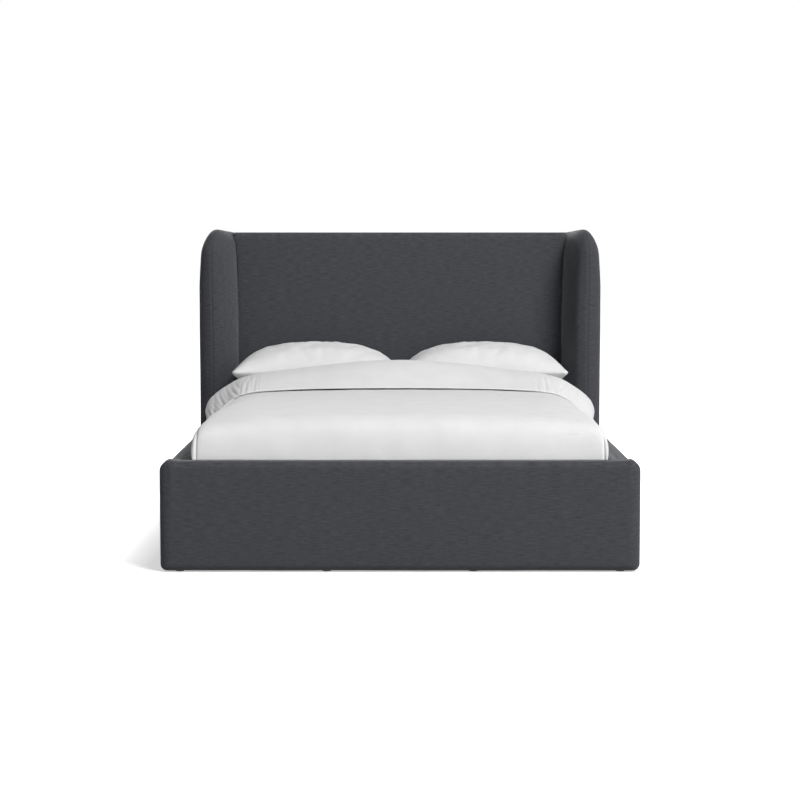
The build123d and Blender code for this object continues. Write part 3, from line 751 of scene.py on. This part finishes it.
def lean_in(bm):
    """Thins the wing towards its top: its inner face rolls outwards, its outer face inwards."""
    for v in bm.verts:
        share = v.co.x / wing_thickness
        taper = sum(most * smooth_step((v.co.z - low) / rise) for most, low, rise in wing_tapers)
        v.co.x += crease_lean(v.co.z) * (1 - share) - taper * share


def wing_relief(co, normal):
    inner = max(-normal.x, 0)
    front = max(-normal.y, 0)
    along = (co.y + wing_reach / 2) / (wing_reach / 2)
    up = (co.z - wing_height / 2) / (wing_height / 2)
    fullness = 0.013 * inner * swell(along, 2) * swell(up, 10)
    outer = 0.002 * max(normal.x, 0) * swell(along, 4) * swell(up, 10)
    seam_way = co.x - wing_seam
    seam = -0.0018 * groove(seam_way, 0.003) * smooth_step(front * 2)
    ridges = 0.0004 * (groove(seam_way - 0.009, 0.005) + groove(seam_way + 0.009, 0.005)) * front
    return fullness + outer + seam + ridges + 0.0009 * drift(co, 6, 9)


def wing_map(co, normal):
    """Round the wing from its inner face over its nose to its outer face, and up."""
    if normal.z > 0.8:
        return co.x, co.y
    return (co.x - co.y if normal.x < 0.3 else co.x + co.y), co.z


def wing_form():
    back = headboard_depth / cos(wing_flare) + wing_thickness * tan(wing_flare) + wing_spare
    bm = block_between((0, -wing_reach, headboard_low.z), (wing_thickness, back, wing_height))
    for v in bm.verts:
        if v.co.y > 0 and v.co.z > 1:
            v.co.z -= wing_back_drop
    rounded(bm, edges_along(bm, X, lambda a, b: a.z > 1 and a.y < 0), wing_corner, 20)
    base = headboard_low.z + touching

    def on_the_rim(a, b):
        return min(a.y, b.y) < back - touching and max(a.z, b.z) > base

    rounded(bm, edges_square_to(bm, X, on_the_rim), wing_nose, 12)
    sliced(bm, 0.02, Z)
    sliced(bm, 0.013, Y)
    sliced_at(bm, X, beside(wing_seam, 0.0025, 0.005, 0.009, 0.014))
    push(bm, wing_relief)
    lean_in(bm)
    lay_cloth(bm, wing_map)
    bmesh.ops.transform(bm, matrix=wing_turn, verts=bm.verts)
    back_cut = cut(bm, everything(bm), headboard_high, (0, 1, 0), clear_outer=True)
    rim = [e for e in back_cut["geom_cut"] if isinstance(e, bmesh.types.BMEdge)]
    bmesh.ops.edgeloop_fill(bm, edges=rim)
    return bm


def wing_timber():
    """The CAD frame inside the right wing, its top shaved to suit the padding's slimmer tip."""
    bm = bmesh.new()
    bm.from_mesh(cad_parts["wing_right_frame"].data)
    bmesh.ops.remove_doubles(bm, verts=bm.verts, dist=same_point)
    sliced_at(bm, Z, timber_cuts)
    bmesh.ops.transform(bm, matrix=wing_turn.inverted(), verts=bm.verts)
    lean_in(bm)
    bmesh.ops.transform(bm, matrix=wing_turn, verts=bm.verts)
    return bm


for side, bm in both_sides(wing_timber()):
    replaced = (f"wing_{side}_frame",)
    timber = piece(f"wing_{side}_timber", bm, timber_upright, "bed_frame", replaced)
    timber.data.shade_flat()

for side, bm in both_sides(wing_form()):
    replaced = (f"wing_{side}_cover", f"wing_{side}_foam")
    linen_cover(f"wing_{side}_upholstery", bm, 0.9, *replaced)

# %% [markdown]
# The mattress is hidden until it is lifted off. Its border is quilted in level channels and
# its lower rim is bound with a tape edge, a thin round bead that both mattress makers and
# movers hold on to. One block with rounded corners takes all of this as relief.

# %% Mattress
mattress_low, mattress_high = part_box("mattress_ticking")
mattress_corner = 0.060
mattress_top_edge = 0.042
mattress_foot_edge = 0.021
channel_pitch = 0.042
channels_from = 0.05
quilt_pitch = 0.14
tape_edge_height = 0.026
bead_cuts = [tape_edge_height + offset * 0.0025 for offset in range(-3, 6)]
channel_lines = [channel_pitch * (k + 0.5) for k in range(1, 5)]
channel_cuts = [place for line in channel_lines for place in beside(line, 0.003, 0.006)]


def mattress_relief(co, normal):
    side = 1 - abs(normal.z)
    up = co.z - mattress_low.z
    channels = -0.0022 * side * groove((up % channel_pitch) - channel_pitch / 2, 0.005)
    bead = 0.0035 * side * groove(up - tape_edge_height, 0.0035)
    stitch = -0.003 * side * groove(up - tape_edge_height - 0.008, 0.002)
    lines = [line % quilt_pitch - quilt_pitch / 2 for line in (co.x + co.y, co.x - co.y)]
    under = -0.0015 * max(-normal.z, 0) * sum(groove(way, 0.006) for way in lines)
    return (channels if up > channels_from else 0) + bead + stitch + under


def mattress_form(low, high):
    bm = block_between(low, high)
    rounded(bm, edges_along(bm, Z), mattress_corner, 8)
    top_rim = edges_square_to(bm, Z, lambda a, b: a.z > high.z - touching)
    rounded(bm, top_rim, mattress_top_edge, 7)
    return bm


def mattress_piece_form():
    bm = mattress_form(mattress_low, mattress_high)
    low_rim = edges_square_to(bm, Z, lambda a, b: max(a.z, b.z) < mattress_low.z + touching)
    rounded(bm, low_rim, mattress_foot_edge, 4)
    sliced(bm, 0.022, X, Y)
    sliced_at(bm, Z, [mattress_low.z + place for place in bead_cuts + channel_cuts])
    push(bm, mattress_relief)
    return bm


mattress_nodes = ("mattress_ticking", "mattress_foam")
mattress_bm = mattress_piece_form()
mattress = piece("mattress", mattress_bm, ticking, "mattress", mattress_nodes)

# %% [markdown]
# The fitted sheet is stretched over the mattress and down its sides. It is a single thin
# layer, so it is the mattress form without its underside, a hair larger, with a real
# thickness; elastic gathers it into small upright pleats near the corners.

# %% Fitted sheet
sheet_low, sheet_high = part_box("fitted_sheet")
sheet_cloth_thickness = 0.0008
corner_inset = 0.05
corner_zone = 0.25
sheet_pleat_pitch = 0.022


def sheet_relief(co, normal):
    side = 1 - abs(normal.z)
    low_down = smooth_step((sheet_low.z + 0.09 - co.z) / 0.09)
    to_side, to_end = mattress_high.x - corner_inset - abs(co.x), 1.0 - corner_inset - abs(co.y)
    near_corner = smooth_step(1 - to_side / corner_zone) * smooth_step(1 - to_end / corner_zone)
    way = co.x - co.y if co.x * co.y > 0 else co.x + co.y
    wave = sin(way * 2 * pi / sheet_pleat_pitch + 2 * drift(co, 9, 4))
    return side * low_down * (0.0011 * (1 + wave) * near_corner)


def sheet_form():
    bm = mattress_form(sheet_low, sheet_high)
    underside = [f for f in bm.faces if f.normal.z < -0.9]
    bmesh.ops.delete(bm, geom=underside, context="FACES")
    sliced(bm, 0.02, X, Y)
    sliced(bm, 0.025, Z)
    push(bm, sheet_relief)
    bmesh.ops.solidify(bm, geom=bm.faces[:], thickness=sheet_cloth_thickness)
    return bm


sheet_bm = sheet_form()
bottom_sheet = piece("bottom_sheet", sheet_bm, sheet_cotton, "mattress", ("fitted_sheet",))

# %% [markdown]
# The duvet is tucked in round the foot of the mattress and spreads over the side rails
# further up. Its shape is a row of outlines across the bed: each is a smooth line through a
# few places, from one hem up over the edge of the mattress, across, and down again. A grid
# takes its rows from them, like cloth pulled over a row of hoops.

# %% Outlines across the bedding
rail_inner = rail_low.x
rail_top = 0.400
duvet_low, duvet_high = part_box("duvet")
fold_low, fold_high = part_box("duvet_turndown")
sheet_top = sheet_high.z
bedding_base = rail_top + 0.0003
bedding_side = mattress_high.x + 0.0145
duvet_thickness = 0.036
tent_reach = 0.046
across_count = 240
flap_across = 480

# Places along half an outline: share of the half width, of the spread and of the height
tucked_places = ((0.73, 0, 0.94), (0.932, 0, 0.813), (0.978, 0, 0.69), (0.997, 0, 0.42))
tucked_places += ((1, 0, 0.2), (1, 0, 0))
tented_places = ((0.73, 0, 0.94), (0.90, 0, 0.82), (0.996, 0, 0.50), (1, 0.52, 0.245))
tented_places += ((1, 0.78, 0.11), (1, 1, 0))
folded_places = ((0.73, 0, 0.813), (0.895, 0, 0.729), (0.975, 0, 0.637), (1, 0.86, 0.38))
folded_places += ((1, 1.14, 0.15), (1, 1, 0))


def between(first, second, share):
    return [[a + (b - a) * share for a, b in zip(p, q)] for p, q in zip(first, second)]


def smooth_line(points, count):
    """Count + 1 points evenly along the smooth line that passes through these points."""
    fine = []
    ends = [points[0] * 2 - points[1], *points, points[-1] * 2 - points[-2]]
    for before, start, end, after in zip(ends, ends[1:], ends[2:], ends[3:]):
        span = (end - start).length
        into = (end - before).normalized() * span / 3
        out = (after - start).normalized() * span / 3
        fine += interpolate_bezier(start, start + into, end - out, end, 24)[:-1]
    fine.append(points[-1])
    lengths = [0.0]
    for a, b in zip(fine, fine[1:]):
        lengths.append(lengths[-1] + (b - a).length)
    line, index = [], 0
    for step in range(count + 1):
        goal = lengths[-1] * step / count
        while index < len(lengths) - 2 and lengths[index + 1] < goal:
            index += 1
        share = (goal - lengths[index]) / max(lengths[index + 1] - lengths[index], 1e-9)
        line.append(fine[index].lerp(fine[index + 1], min(share, 1.0)))
    return line


def outline_across(y, places, top, reach, drop=0.0, inset=0.0, count=across_count):
    """An outline across the bed at y, from the left hem over the top to the right hem."""
    side = bedding_side - inset
    height = top - bedding_base - drop
    half = [Vector((side * a + reach * b, y, bedding_base + height * c)) for a, b, c in places]
    left = [Vector((-p.x, p.y, p.z)) for p in reversed(half)]
    return smooth_line([*left, Vector((0, y, top - drop)), *half], count)


print("outlines have", across_count + 1, "points")

# %% [markdown]
# Near the foot the outline is tight; from about a quarter of the way up it spreads. At the
# foot itself the outlines sink as they come forward, down a long soft slope that ends on
# the frame behind the footboard. The side drop is folded over the end at each corner, so a
# narrow pleat stands there; the grid is cut finer beside it before it is pressed in.

# %% Duvet
duvet_shell = 0.006
duvet_corner = 0.006
duvet_swell = 0.0045
corner_stand = 0.35
tuck_share = 0.24
tent_share = 0.62
row_pitch = 0.0125
duvet_top = sheet_top + duvet_thickness
drape_pitch = 0.29
pleat_x = 0.752
pleat_zone = 0.15
pleat_cuts = (-0.006, -0.0035, -0.0015, 0, 0.0015, 0.0035, 0.006, 0.009)

# The soft end: how far in from the foot, and how far below the top
end_places = ((-0.01, 0.155), (-0.002, 0.114), (0.006, 0.079), (0.02, 0.044))
end_places += ((0.048, 0.015), (0.105, 0))


def duvet_outline(y, drop=0.0, inset=0.0, count=across_count):
    along = (y - duvet_low.y) / (duvet_high.y - duvet_low.y)
    spread = smooth_step((along - tuck_share) / (tent_share - tuck_share))
    reach = (rail_inner + tent_reach - bedding_side) * spread
    top = duvet_top + duvet_swell * smooth_step((y - duvet_low.y - 0.15) / 0.5)
    places = between(tucked_places, tented_places, spread)
    row = outline_across(y, places, top, reach, drop, inset, count)
    stand = corner_stand * drop * (1 - drop / end_places[0][1])
    for p in row:
        p.z += stand * smooth_step((abs(p.x) - 0.62) / 0.12)
    return row


def bent_grid(rows):
    """A grid whose rows are laid on these outlines."""
    bm = bmesh.new()
    across, along = len(rows[0]) - 1, len(rows) - 1
    bmesh.ops.create_grid(bm, x_segments=across, y_segments=along, size=1)
    for v in bm.verts:
        v.co = rows[round((v.co.y + 1) / 2 * along)][round((v.co.x + 1) / 2 * across)]
    return bm


def duvet_relief(co, normal):
    """Soft filling: unevenness, drapes down the spread sides, thin hems and the end pleats."""
    spread = smooth_step((co.y + 0.6) / 0.7)
    side = smooth_step((abs(co.x) - 0.70) / 0.08)
    low_down = smooth_step((sheet_top - co.z) / 0.10)
    wave = sin(co.y * 2 * pi / drape_pitch + (1.3 if co.x > 0 else 0.2))
    drapes = 0.0045 * wave * spread * side * low_down
    broad = 0.0026 * drift(co, 3.4, 12) + 0.0011 * drift(co, 11, 15)
    front = smooth_step((-0.90 - co.y) / 0.08)
    hem = -0.0035 * smooth_step(1 - (co.z - bedding_base) / 0.022) * (1 - front)
    pressed = smooth_step((sheet_top + 0.008 - co.z) / 0.03) * front
    pleat = -0.0045 * groove(abs(co.x) - pleat_x, 0.0036) * pressed
    fold = 0.0015 * smooth_step((abs(co.x) - pleat_x - 0.003) / 0.005) * pressed
    return drapes + broad + hem + pleat + fold


def cut_beside_pleats(bm):
    for place in [side * (pleat_x + offset) for side in (-1, 1) for offset in pleat_cuts]:
        faces = [f for f in bm.faces if f.calc_center_median().y < duvet_low.y + pleat_zone]
        geom = faces + list({part for f in faces for part in (*f.edges, *f.verts)})
        cut(bm, geom, (place, 0, 0), (1, 0, 0))


def duvet_form():
    end = smooth_line([Vector((0, way, drop)) for way, drop in end_places], 20)
    straight = duvet_high.y - duvet_low.y - end_places[-1][0]
    count = round(straight / row_pitch)
    insets = [duvet_corner * (p.z / end[0].z) ** 2 for p in end]
    rows = [duvet_outline(duvet_low.y + p.y, p.z, inset) for p, inset in zip(end, insets)]
    rows += [duvet_outline(duvet_high.y - straight * (1 - i / count)) for i in range(1, count + 1)]
    bm = bent_grid(rows)
    first_y = duvet_low.y + end[0].y + same_point
    front = [e for e in bm.edges if e.is_boundary and all(v.co.y < first_y for v in e.verts)]
    ends = sorted((v for v in bm.verts if v.co.y < first_y), key=lambda v: v.co.z)[:2]
    bmesh.ops.contextual_create(bm, geom=[*front, bm.edges.new(ends)])
    bmesh.ops.recalc_face_normals(bm, faces=bm.faces)
    cut_beside_pleats(bm)
    push(bm, duvet_relief)
    return bm


duvet = piece("duvet_body", duvet_form(), duvet_cotton, "mattress", ("duvet",))
shell = duvet.modifiers.new("filling", "SOLIDIFY")
shell.thickness = duvet_shell
shell.offset = -1

# %% [markdown]
# The head end of the duvet is turned back on itself. The flap climbs towards the pillows,
# its hem stands a little off the duvet in the middle, so that a dark line shows under it,
# and at the sides the cloth gathers in small pleats where it goes over the edge. It is a
# closed form: rows go round its hem, up over its top, round the fold and back underneath.

# %% Turned-down end
hem_thickness = 0.015
hem_depth = 0.010
under_depth = 0.11
fold_rise = 0.1235
fold_side_reach = 0.022
fold_end_radius = 0.058
fold_length = fold_high.y - fold_low.y
fold_row_pitch = 0.010
side_drop_length = 0.155
shoulder_x = 0.70
shoulder_height = 0.20


def fold_outline(y, lost=0.0):
    slope = sin((y - fold_low.y) / fold_length * pi / 2) ** 1.12
    top = sheet_top + duvet_thickness + hem_thickness + (fold_rise - hem_thickness) * slope
    reach = rail_inner + tent_reach + fold_side_reach - bedding_side
    places = between(tented_places, folded_places, slope)
    return outline_across(y, places, top, reach, fold_end_radius * lost, count=flap_across)


def way_to_side(column):
    """How far out a column of the flap lies: 0 in the bed's middle and 1 at a hem."""
    return abs(2 * column / flap_across - 1)


def hem_lift(column):
    """How far up its own thickness the hem's underside stands: in the middle it is open."""
    return 0.05 + 0.39 * smooth_step((0.76 - way_to_side(column)) / 0.32)


def side_pinch(column):
    """The flap is sewn thin at its two ends, beside the rails."""
    way = min(column, flap_across - column) / flap_across
    return 0.6 + 0.4 * smooth_step(way / 0.03)


def gathers(column, share):
    """Puffs and sharp valleys where the flap goes over the mattress's side, less at the fold."""
    side = way_to_side(column)
    seed = 0.4 if column > flap_across / 2 else 7.3
    zone = smooth_step((side - 0.60) / 0.10) * smooth_step((1.02 - side) / 0.06)
    wander = noise.noise(Vector((side * 15, share * 1.2, seed)))
    uneven = 0.75 + 0.6 * noise.noise(Vector((side * 22, share, seed + 20)))
    wave = abs(cos(side * pi * 27 + 2.2 * wander + 1.2 * share)) - 0.64
    fine = abs(cos(side * pi * 46 - 2.0 * wander - 1.6 * share)) - 0.64
    fade = 1 - 0.8 * smooth_step((share - 0.1) / 0.8)
    return (0.0034 * wave * uneven + 0.0016 * fine) * zone * fade


def flap_row(y, lift, lost=0.0):
    """A row of the flap at y, each column lifted by a share of the way up to the flap's top."""
    base, top = duvet_outline(y, count=flap_across), fold_outline(y, lost)
    return [b.lerp(t, 0.02 + 0.98 * lift(c)) for c, (b, t) in enumerate(zip(base, top))]


def fold_rows():
    """Rows round the flap: under its hem, round it, up the top, round the fold and back."""
    rows = []
    for step in range(8, 0, -1):
        y = fold_low.y + hem_depth + (under_depth - hem_depth) * step / 8
        fade = 0.8 * smooth_step(1 - step / 8)
        rows.append(flap_row(y, lambda c, f=fade: hem_lift(c) * side_pinch(c) * f))
    for angle in range(-75, 76, 15):
        turn = radians(angle)
        y = fold_low.y + hem_depth * (1 - cos(turn))

        def round_hem(c, t=turn):
            return (1 + hem_lift(c) + (1 - hem_lift(c)) * sin(t)) / 2 * side_pinch(c)

        rows.append(flap_row(y, round_hem))
    straight = fold_length - fold_end_radius
    count = round(straight / fold_row_pitch)
    for step in range(count + 1):
        y = fold_low.y + hem_depth + (straight - hem_depth) * step / count
        rows.append(flap_row(y, side_pinch))
    for angle in range(12, 91, 13):
        turn = radians(angle)
        y = fold_high.y - fold_end_radius * (1 - sin(turn))
        rows.append(flap_row(y, side_pinch, 1 - cos(turn)))
    base, end = duvet_outline(fold_high.y, count=flap_across), rows[-1]
    rows += [[b.lerp(t, share) for b, t in zip(base, end)] for share in (0.75, 0.5, 0.25, 0.02)]
    for step in range(1, 18):
        y = fold_high.y + (fold_low.y + under_depth - fold_high.y) * step / 18
        rows.append(flap_row(y, lambda c: 0.0))
    return [*rows, rows[0]]


def column_of(co):
    """The place along an outline that a point of the bedding has, found from where it stands."""
    height = max(co.z - bedding_base, 0.0)
    way = abs(co.x)
    if way >= shoulder_x:
        down = shoulder_height - min(height, shoulder_height)
        way = shoulder_x + ((way - shoulder_x) ** 2 + down**2) ** 0.5
    share = min(way / (bedding_side + side_drop_length), 1.0)
    return flap_across / 2 * (1 + share * side_of(co.x))


def fold_relief(co, normal):
    """Gathers and unevenness on the outside of the flap; its underside stays as it is."""
    if normal.z <= -0.2 and abs(normal.x) <= 0.5:
        return 0.0
    share = (co.y - fold_low.y) / fold_length
    return gathers(column_of(co), share) + 0.0018 * drift(co, 5, 31) + 0.0006 * drift(co, 17, 33)


def fold_form():
    bm = bent_grid(fold_rows())
    bmesh.ops.remove_doubles(bm, verts=bm.verts, dist=same_point)
    bmesh.ops.recalc_face_normals(bm, faces=bm.faces)
    push(bm, fold_relief)
    bmesh.ops.holes_fill(bm, edges=[e for e in bm.edges if e.is_boundary], sides=0)
    bmesh.ops.recalc_face_normals(bm, faces=bm.faces)
    return bm


flap = piece("duvet_fold", fold_form(), duvet_cotton, "mattress", ("duvet_turndown",))

# %% [markdown]
# A pillow is sewn from two rectangles and stuffed, and its shape comes from that: full in
# the middle, drawn in along its sides between pointed corners, with puckers at its seam. It
# starts as a flat case with that crown. Cloth simulation with a little air pressure then
# tightens and crumples it, and no point may move further than a cap, so it keeps its size.

# %% Pillows
pillow_low, pillow_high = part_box("pillow_right")
pillow_seam = 0.093
pillow_frames = 20
pillow_cap = 0.005
pillow_rise = 0.005
pillow_clearance = 0.0035
case_spacing = 0.0115
crown_power = 2.5
underside_power = 5
cloth_values = {"quality": 6, "mass": 0.25, "air_damping": 2}
cloth_values |= {"use_pressure": True, "uniform_pressure_force": 4}
cloth_values |= {"tension_stiffness": 20, "compression_stiffness": 8}
cloth_values |= {"shear_stiffness": 6, "bending_stiffness": 0.4}


def crown_at(share, power):
    """How full a pillow is at a share of the way from its middle to its seam."""
    return max(0.0, 1 - abs(share) ** power) ** 0.66


def pillow_form():
    """The stuffed case before it is crumpled, about its own middle."""
    half = (pillow_high - pillow_low) / 2
    bm = block_between((-half.x, -half.y, -0.002), (half.x, half.y, 0.002))
    rounded(bm, edges_along(bm, Z), 0.03, 6)
    sliced(bm, case_spacing, X, Y)
    for v in bm.verts:
        x, y = v.co.x / half.x, v.co.y / half.y
        drawn = Vector((1 - 0.035 * (1 - y * y), 1 - 0.045 * (1 - x * x), 1))
        above = v.co.z > 0
        crown = 2 * half.z - pillow_seam + pillow_rise if above else -pillow_seam
        power = crown_power if above else underside_power
        pucker = 1 + 0.05 * drift((v.co.x, v.co.y, 0), 14, 41) + 0.03 * drift(v.co, 33, 43)
        full = crown * crown_at(x, power) * crown_at(y, power) * pucker
        v.co = v.co * drawn + Vector((0, 0, full))
    return bm


def crumpled(bm):
    """The case after air has filled it, each point held within the cap of where it began."""
    case = mesh_object("case", bm)
    cloth = case.modifiers.new("air", "CLOTH")
    for key, value in cloth_values.items():
        setattr(cloth.settings, key, value)
    cloth.settings.effector_weights.gravity = 0
    cloth.collision_settings.use_collision = False
    cloth.collision_settings.use_self_collision = False
    cloth.point_cache.frame_end = pillow_frames
    for step in range(1, pillow_frames + 1):
        bpy.context.scene.frame_set(step)
    evaluated = case.evaluated_get(bpy.context.evaluated_depsgraph_get())
    for v, moved in zip(bm.verts, evaluated.data.vertices):
        way = moved.co - v.co
        v.co += way * min(1.0, pillow_cap / max(way.length, 1e-9))
    bpy.data.objects.remove(case)
    bpy.context.scene.frame_set(1)
    return bm


def placed_pillow(bm):
    """The pillow scaled to its own box, with its seam at the height it has on the bed."""
    middle = (pillow_low + pillow_high) / 2 - Vector((0, pillow_clearance, 0))
    for axis in (X, Y):
        reach = max(abs(v.co[axis]) for v in bm.verts)
        goal = (pillow_high[axis] - pillow_low[axis]) / 2
        for v in bm.verts:
            v.co[axis] = middle[axis] + v.co[axis] * goal / reach
    heights = [v.co.z for v in bm.verts]
    above = (pillow_high.z - pillow_low.z - pillow_seam + pillow_rise) / max(heights)
    below = pillow_seam / -min(heights)
    for v in bm.verts:
        v.co.z = pillow_low.z + pillow_seam + v.co.z * (above if v.co.z > 0 else below)
    return bm


stuffed = crumpled(pillow_form())
for side, bm in both_sides(placed_pillow(stuffed)):
    body = f"pillow_{side}"
    pillow = piece(f"pillow_{side}_case", bm, pillow_cotton, body, (f"pillow_{side}",))
    smooth = pillow.modifiers.new("smooth", "SUBSURF")
    smooth.levels = smooth.render_levels = 1

# %% [markdown]
# The room is a white studio. A large soft lamp stands high in front on the right, a weak one
# lower down on the same side and another behind the head, for the top edges and the back.
# The white floor and a faint even sky fill the rest. To the camera the floor glows a little,
# and more with its distance from the bed, so that it runs out into plain white but still
# takes the bed's shadow close by.

# %% Studio
lamp_aim = Vector((0, 0, 0.5))
sky_strength = 0.15
floor_white = 0.8
floor_bounce = 0.55
floor_half = 60
glow_near = 0.485
glow_far = 1.0
glow_reach = 0.22

# Name, place, side of its square and power in watts
lamps = (
    ("key", Vector((9.4, -10.2, 15)), 7, 3250),
    ("low_lamp", Vector((7.5, -10, 4)), 6, 460),
    ("rear_lamp", Vector((-2, 9, 5.5)), 6, 380),
)


def lamp(name, place, size, power):
    data = bpy.data.lights.new(name, "AREA")
    data.shape = "SQUARE"
    data.size = size
    data.energy = power
    turn = (lamp_aim - place).to_track_quat("-Z", "Y").to_matrix().to_4x4()
    in_scene(name, data).matrix_world = Matrix.Translation(place) @ turn


def seen_directly(recipe):
    """1 for what the camera, a reflection or glass looks at, 0 for light going elsewhere."""
    rays = recipe.add("LightPath").outputs
    either = recipe.maths("MAXIMUM", rays["Is Camera Ray"], rays["Is Glossy Ray"])
    return recipe.maths("MAXIMUM", either, rays["Is Transmission Ray"])


def studio_sky():
    sky = Recipe(bpy.data.worlds.new("studio"), "Background", Color=(1, 1, 1))
    sky.feed(sky.shader, Strength=sky.span(seen_directly(sky), 0, 1, sky_strength, 1))
    return sky.owner


def floor_finish():
    gloss = {"Roughness": 0.9, "Specular_IOR_Level": 0}
    floor = new_finish("white_floor", Emission_Color=(1, 1, 1), **gloss)
    shade = floor.span(seen_directly(floor), 0, 1, floor_bounce, floor_white)
    place = floor.add("TexCoord").outputs["Object"]
    place = floor.add("VectorMath", {"operation": "ABSOLUTE"}, i0=place).outputs[0]
    away = floor.add("VectorMath", {"operation": "SUBTRACT"}, i0=place, i1=cad_box[1]).outputs[0]
    axes = floor.add("SeparateXYZ", i0=away).outputs
    glow = floor.maths("MAXIMUM", axes["X"], axes["Y"])
    glow = floor.span(glow, 0, glow_reach, glow_near, glow_far)
    glow = floor.maths("MULTIPLY", glow, seen_directly(floor))
    floor.feed(floor.shader, Base_Color=shade, Emission_Strength=glow)
    return floor.owner


def studio_floor():
    bm = bmesh.new()
    bmesh.ops.create_grid(bm, x_segments=1, y_segments=1, size=floor_half)
    mesh_object("studio_floor", bm, floor_finish())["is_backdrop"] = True
    bm.free()


for values in lamps:
    lamp(*values)
bpy.context.scene.world = studio_sky()
studio_floor()
bpy.context.scene.view_settings.view_transform = "Standard"

# %% Keep the two sizes and finish
visual_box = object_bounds()
grown = [visual - cad for visual, cad in zip(visual_box, cad_box)]
print("grown by", [[round(c * 1000, 1) for c in corner] for corner in grown], "mm")
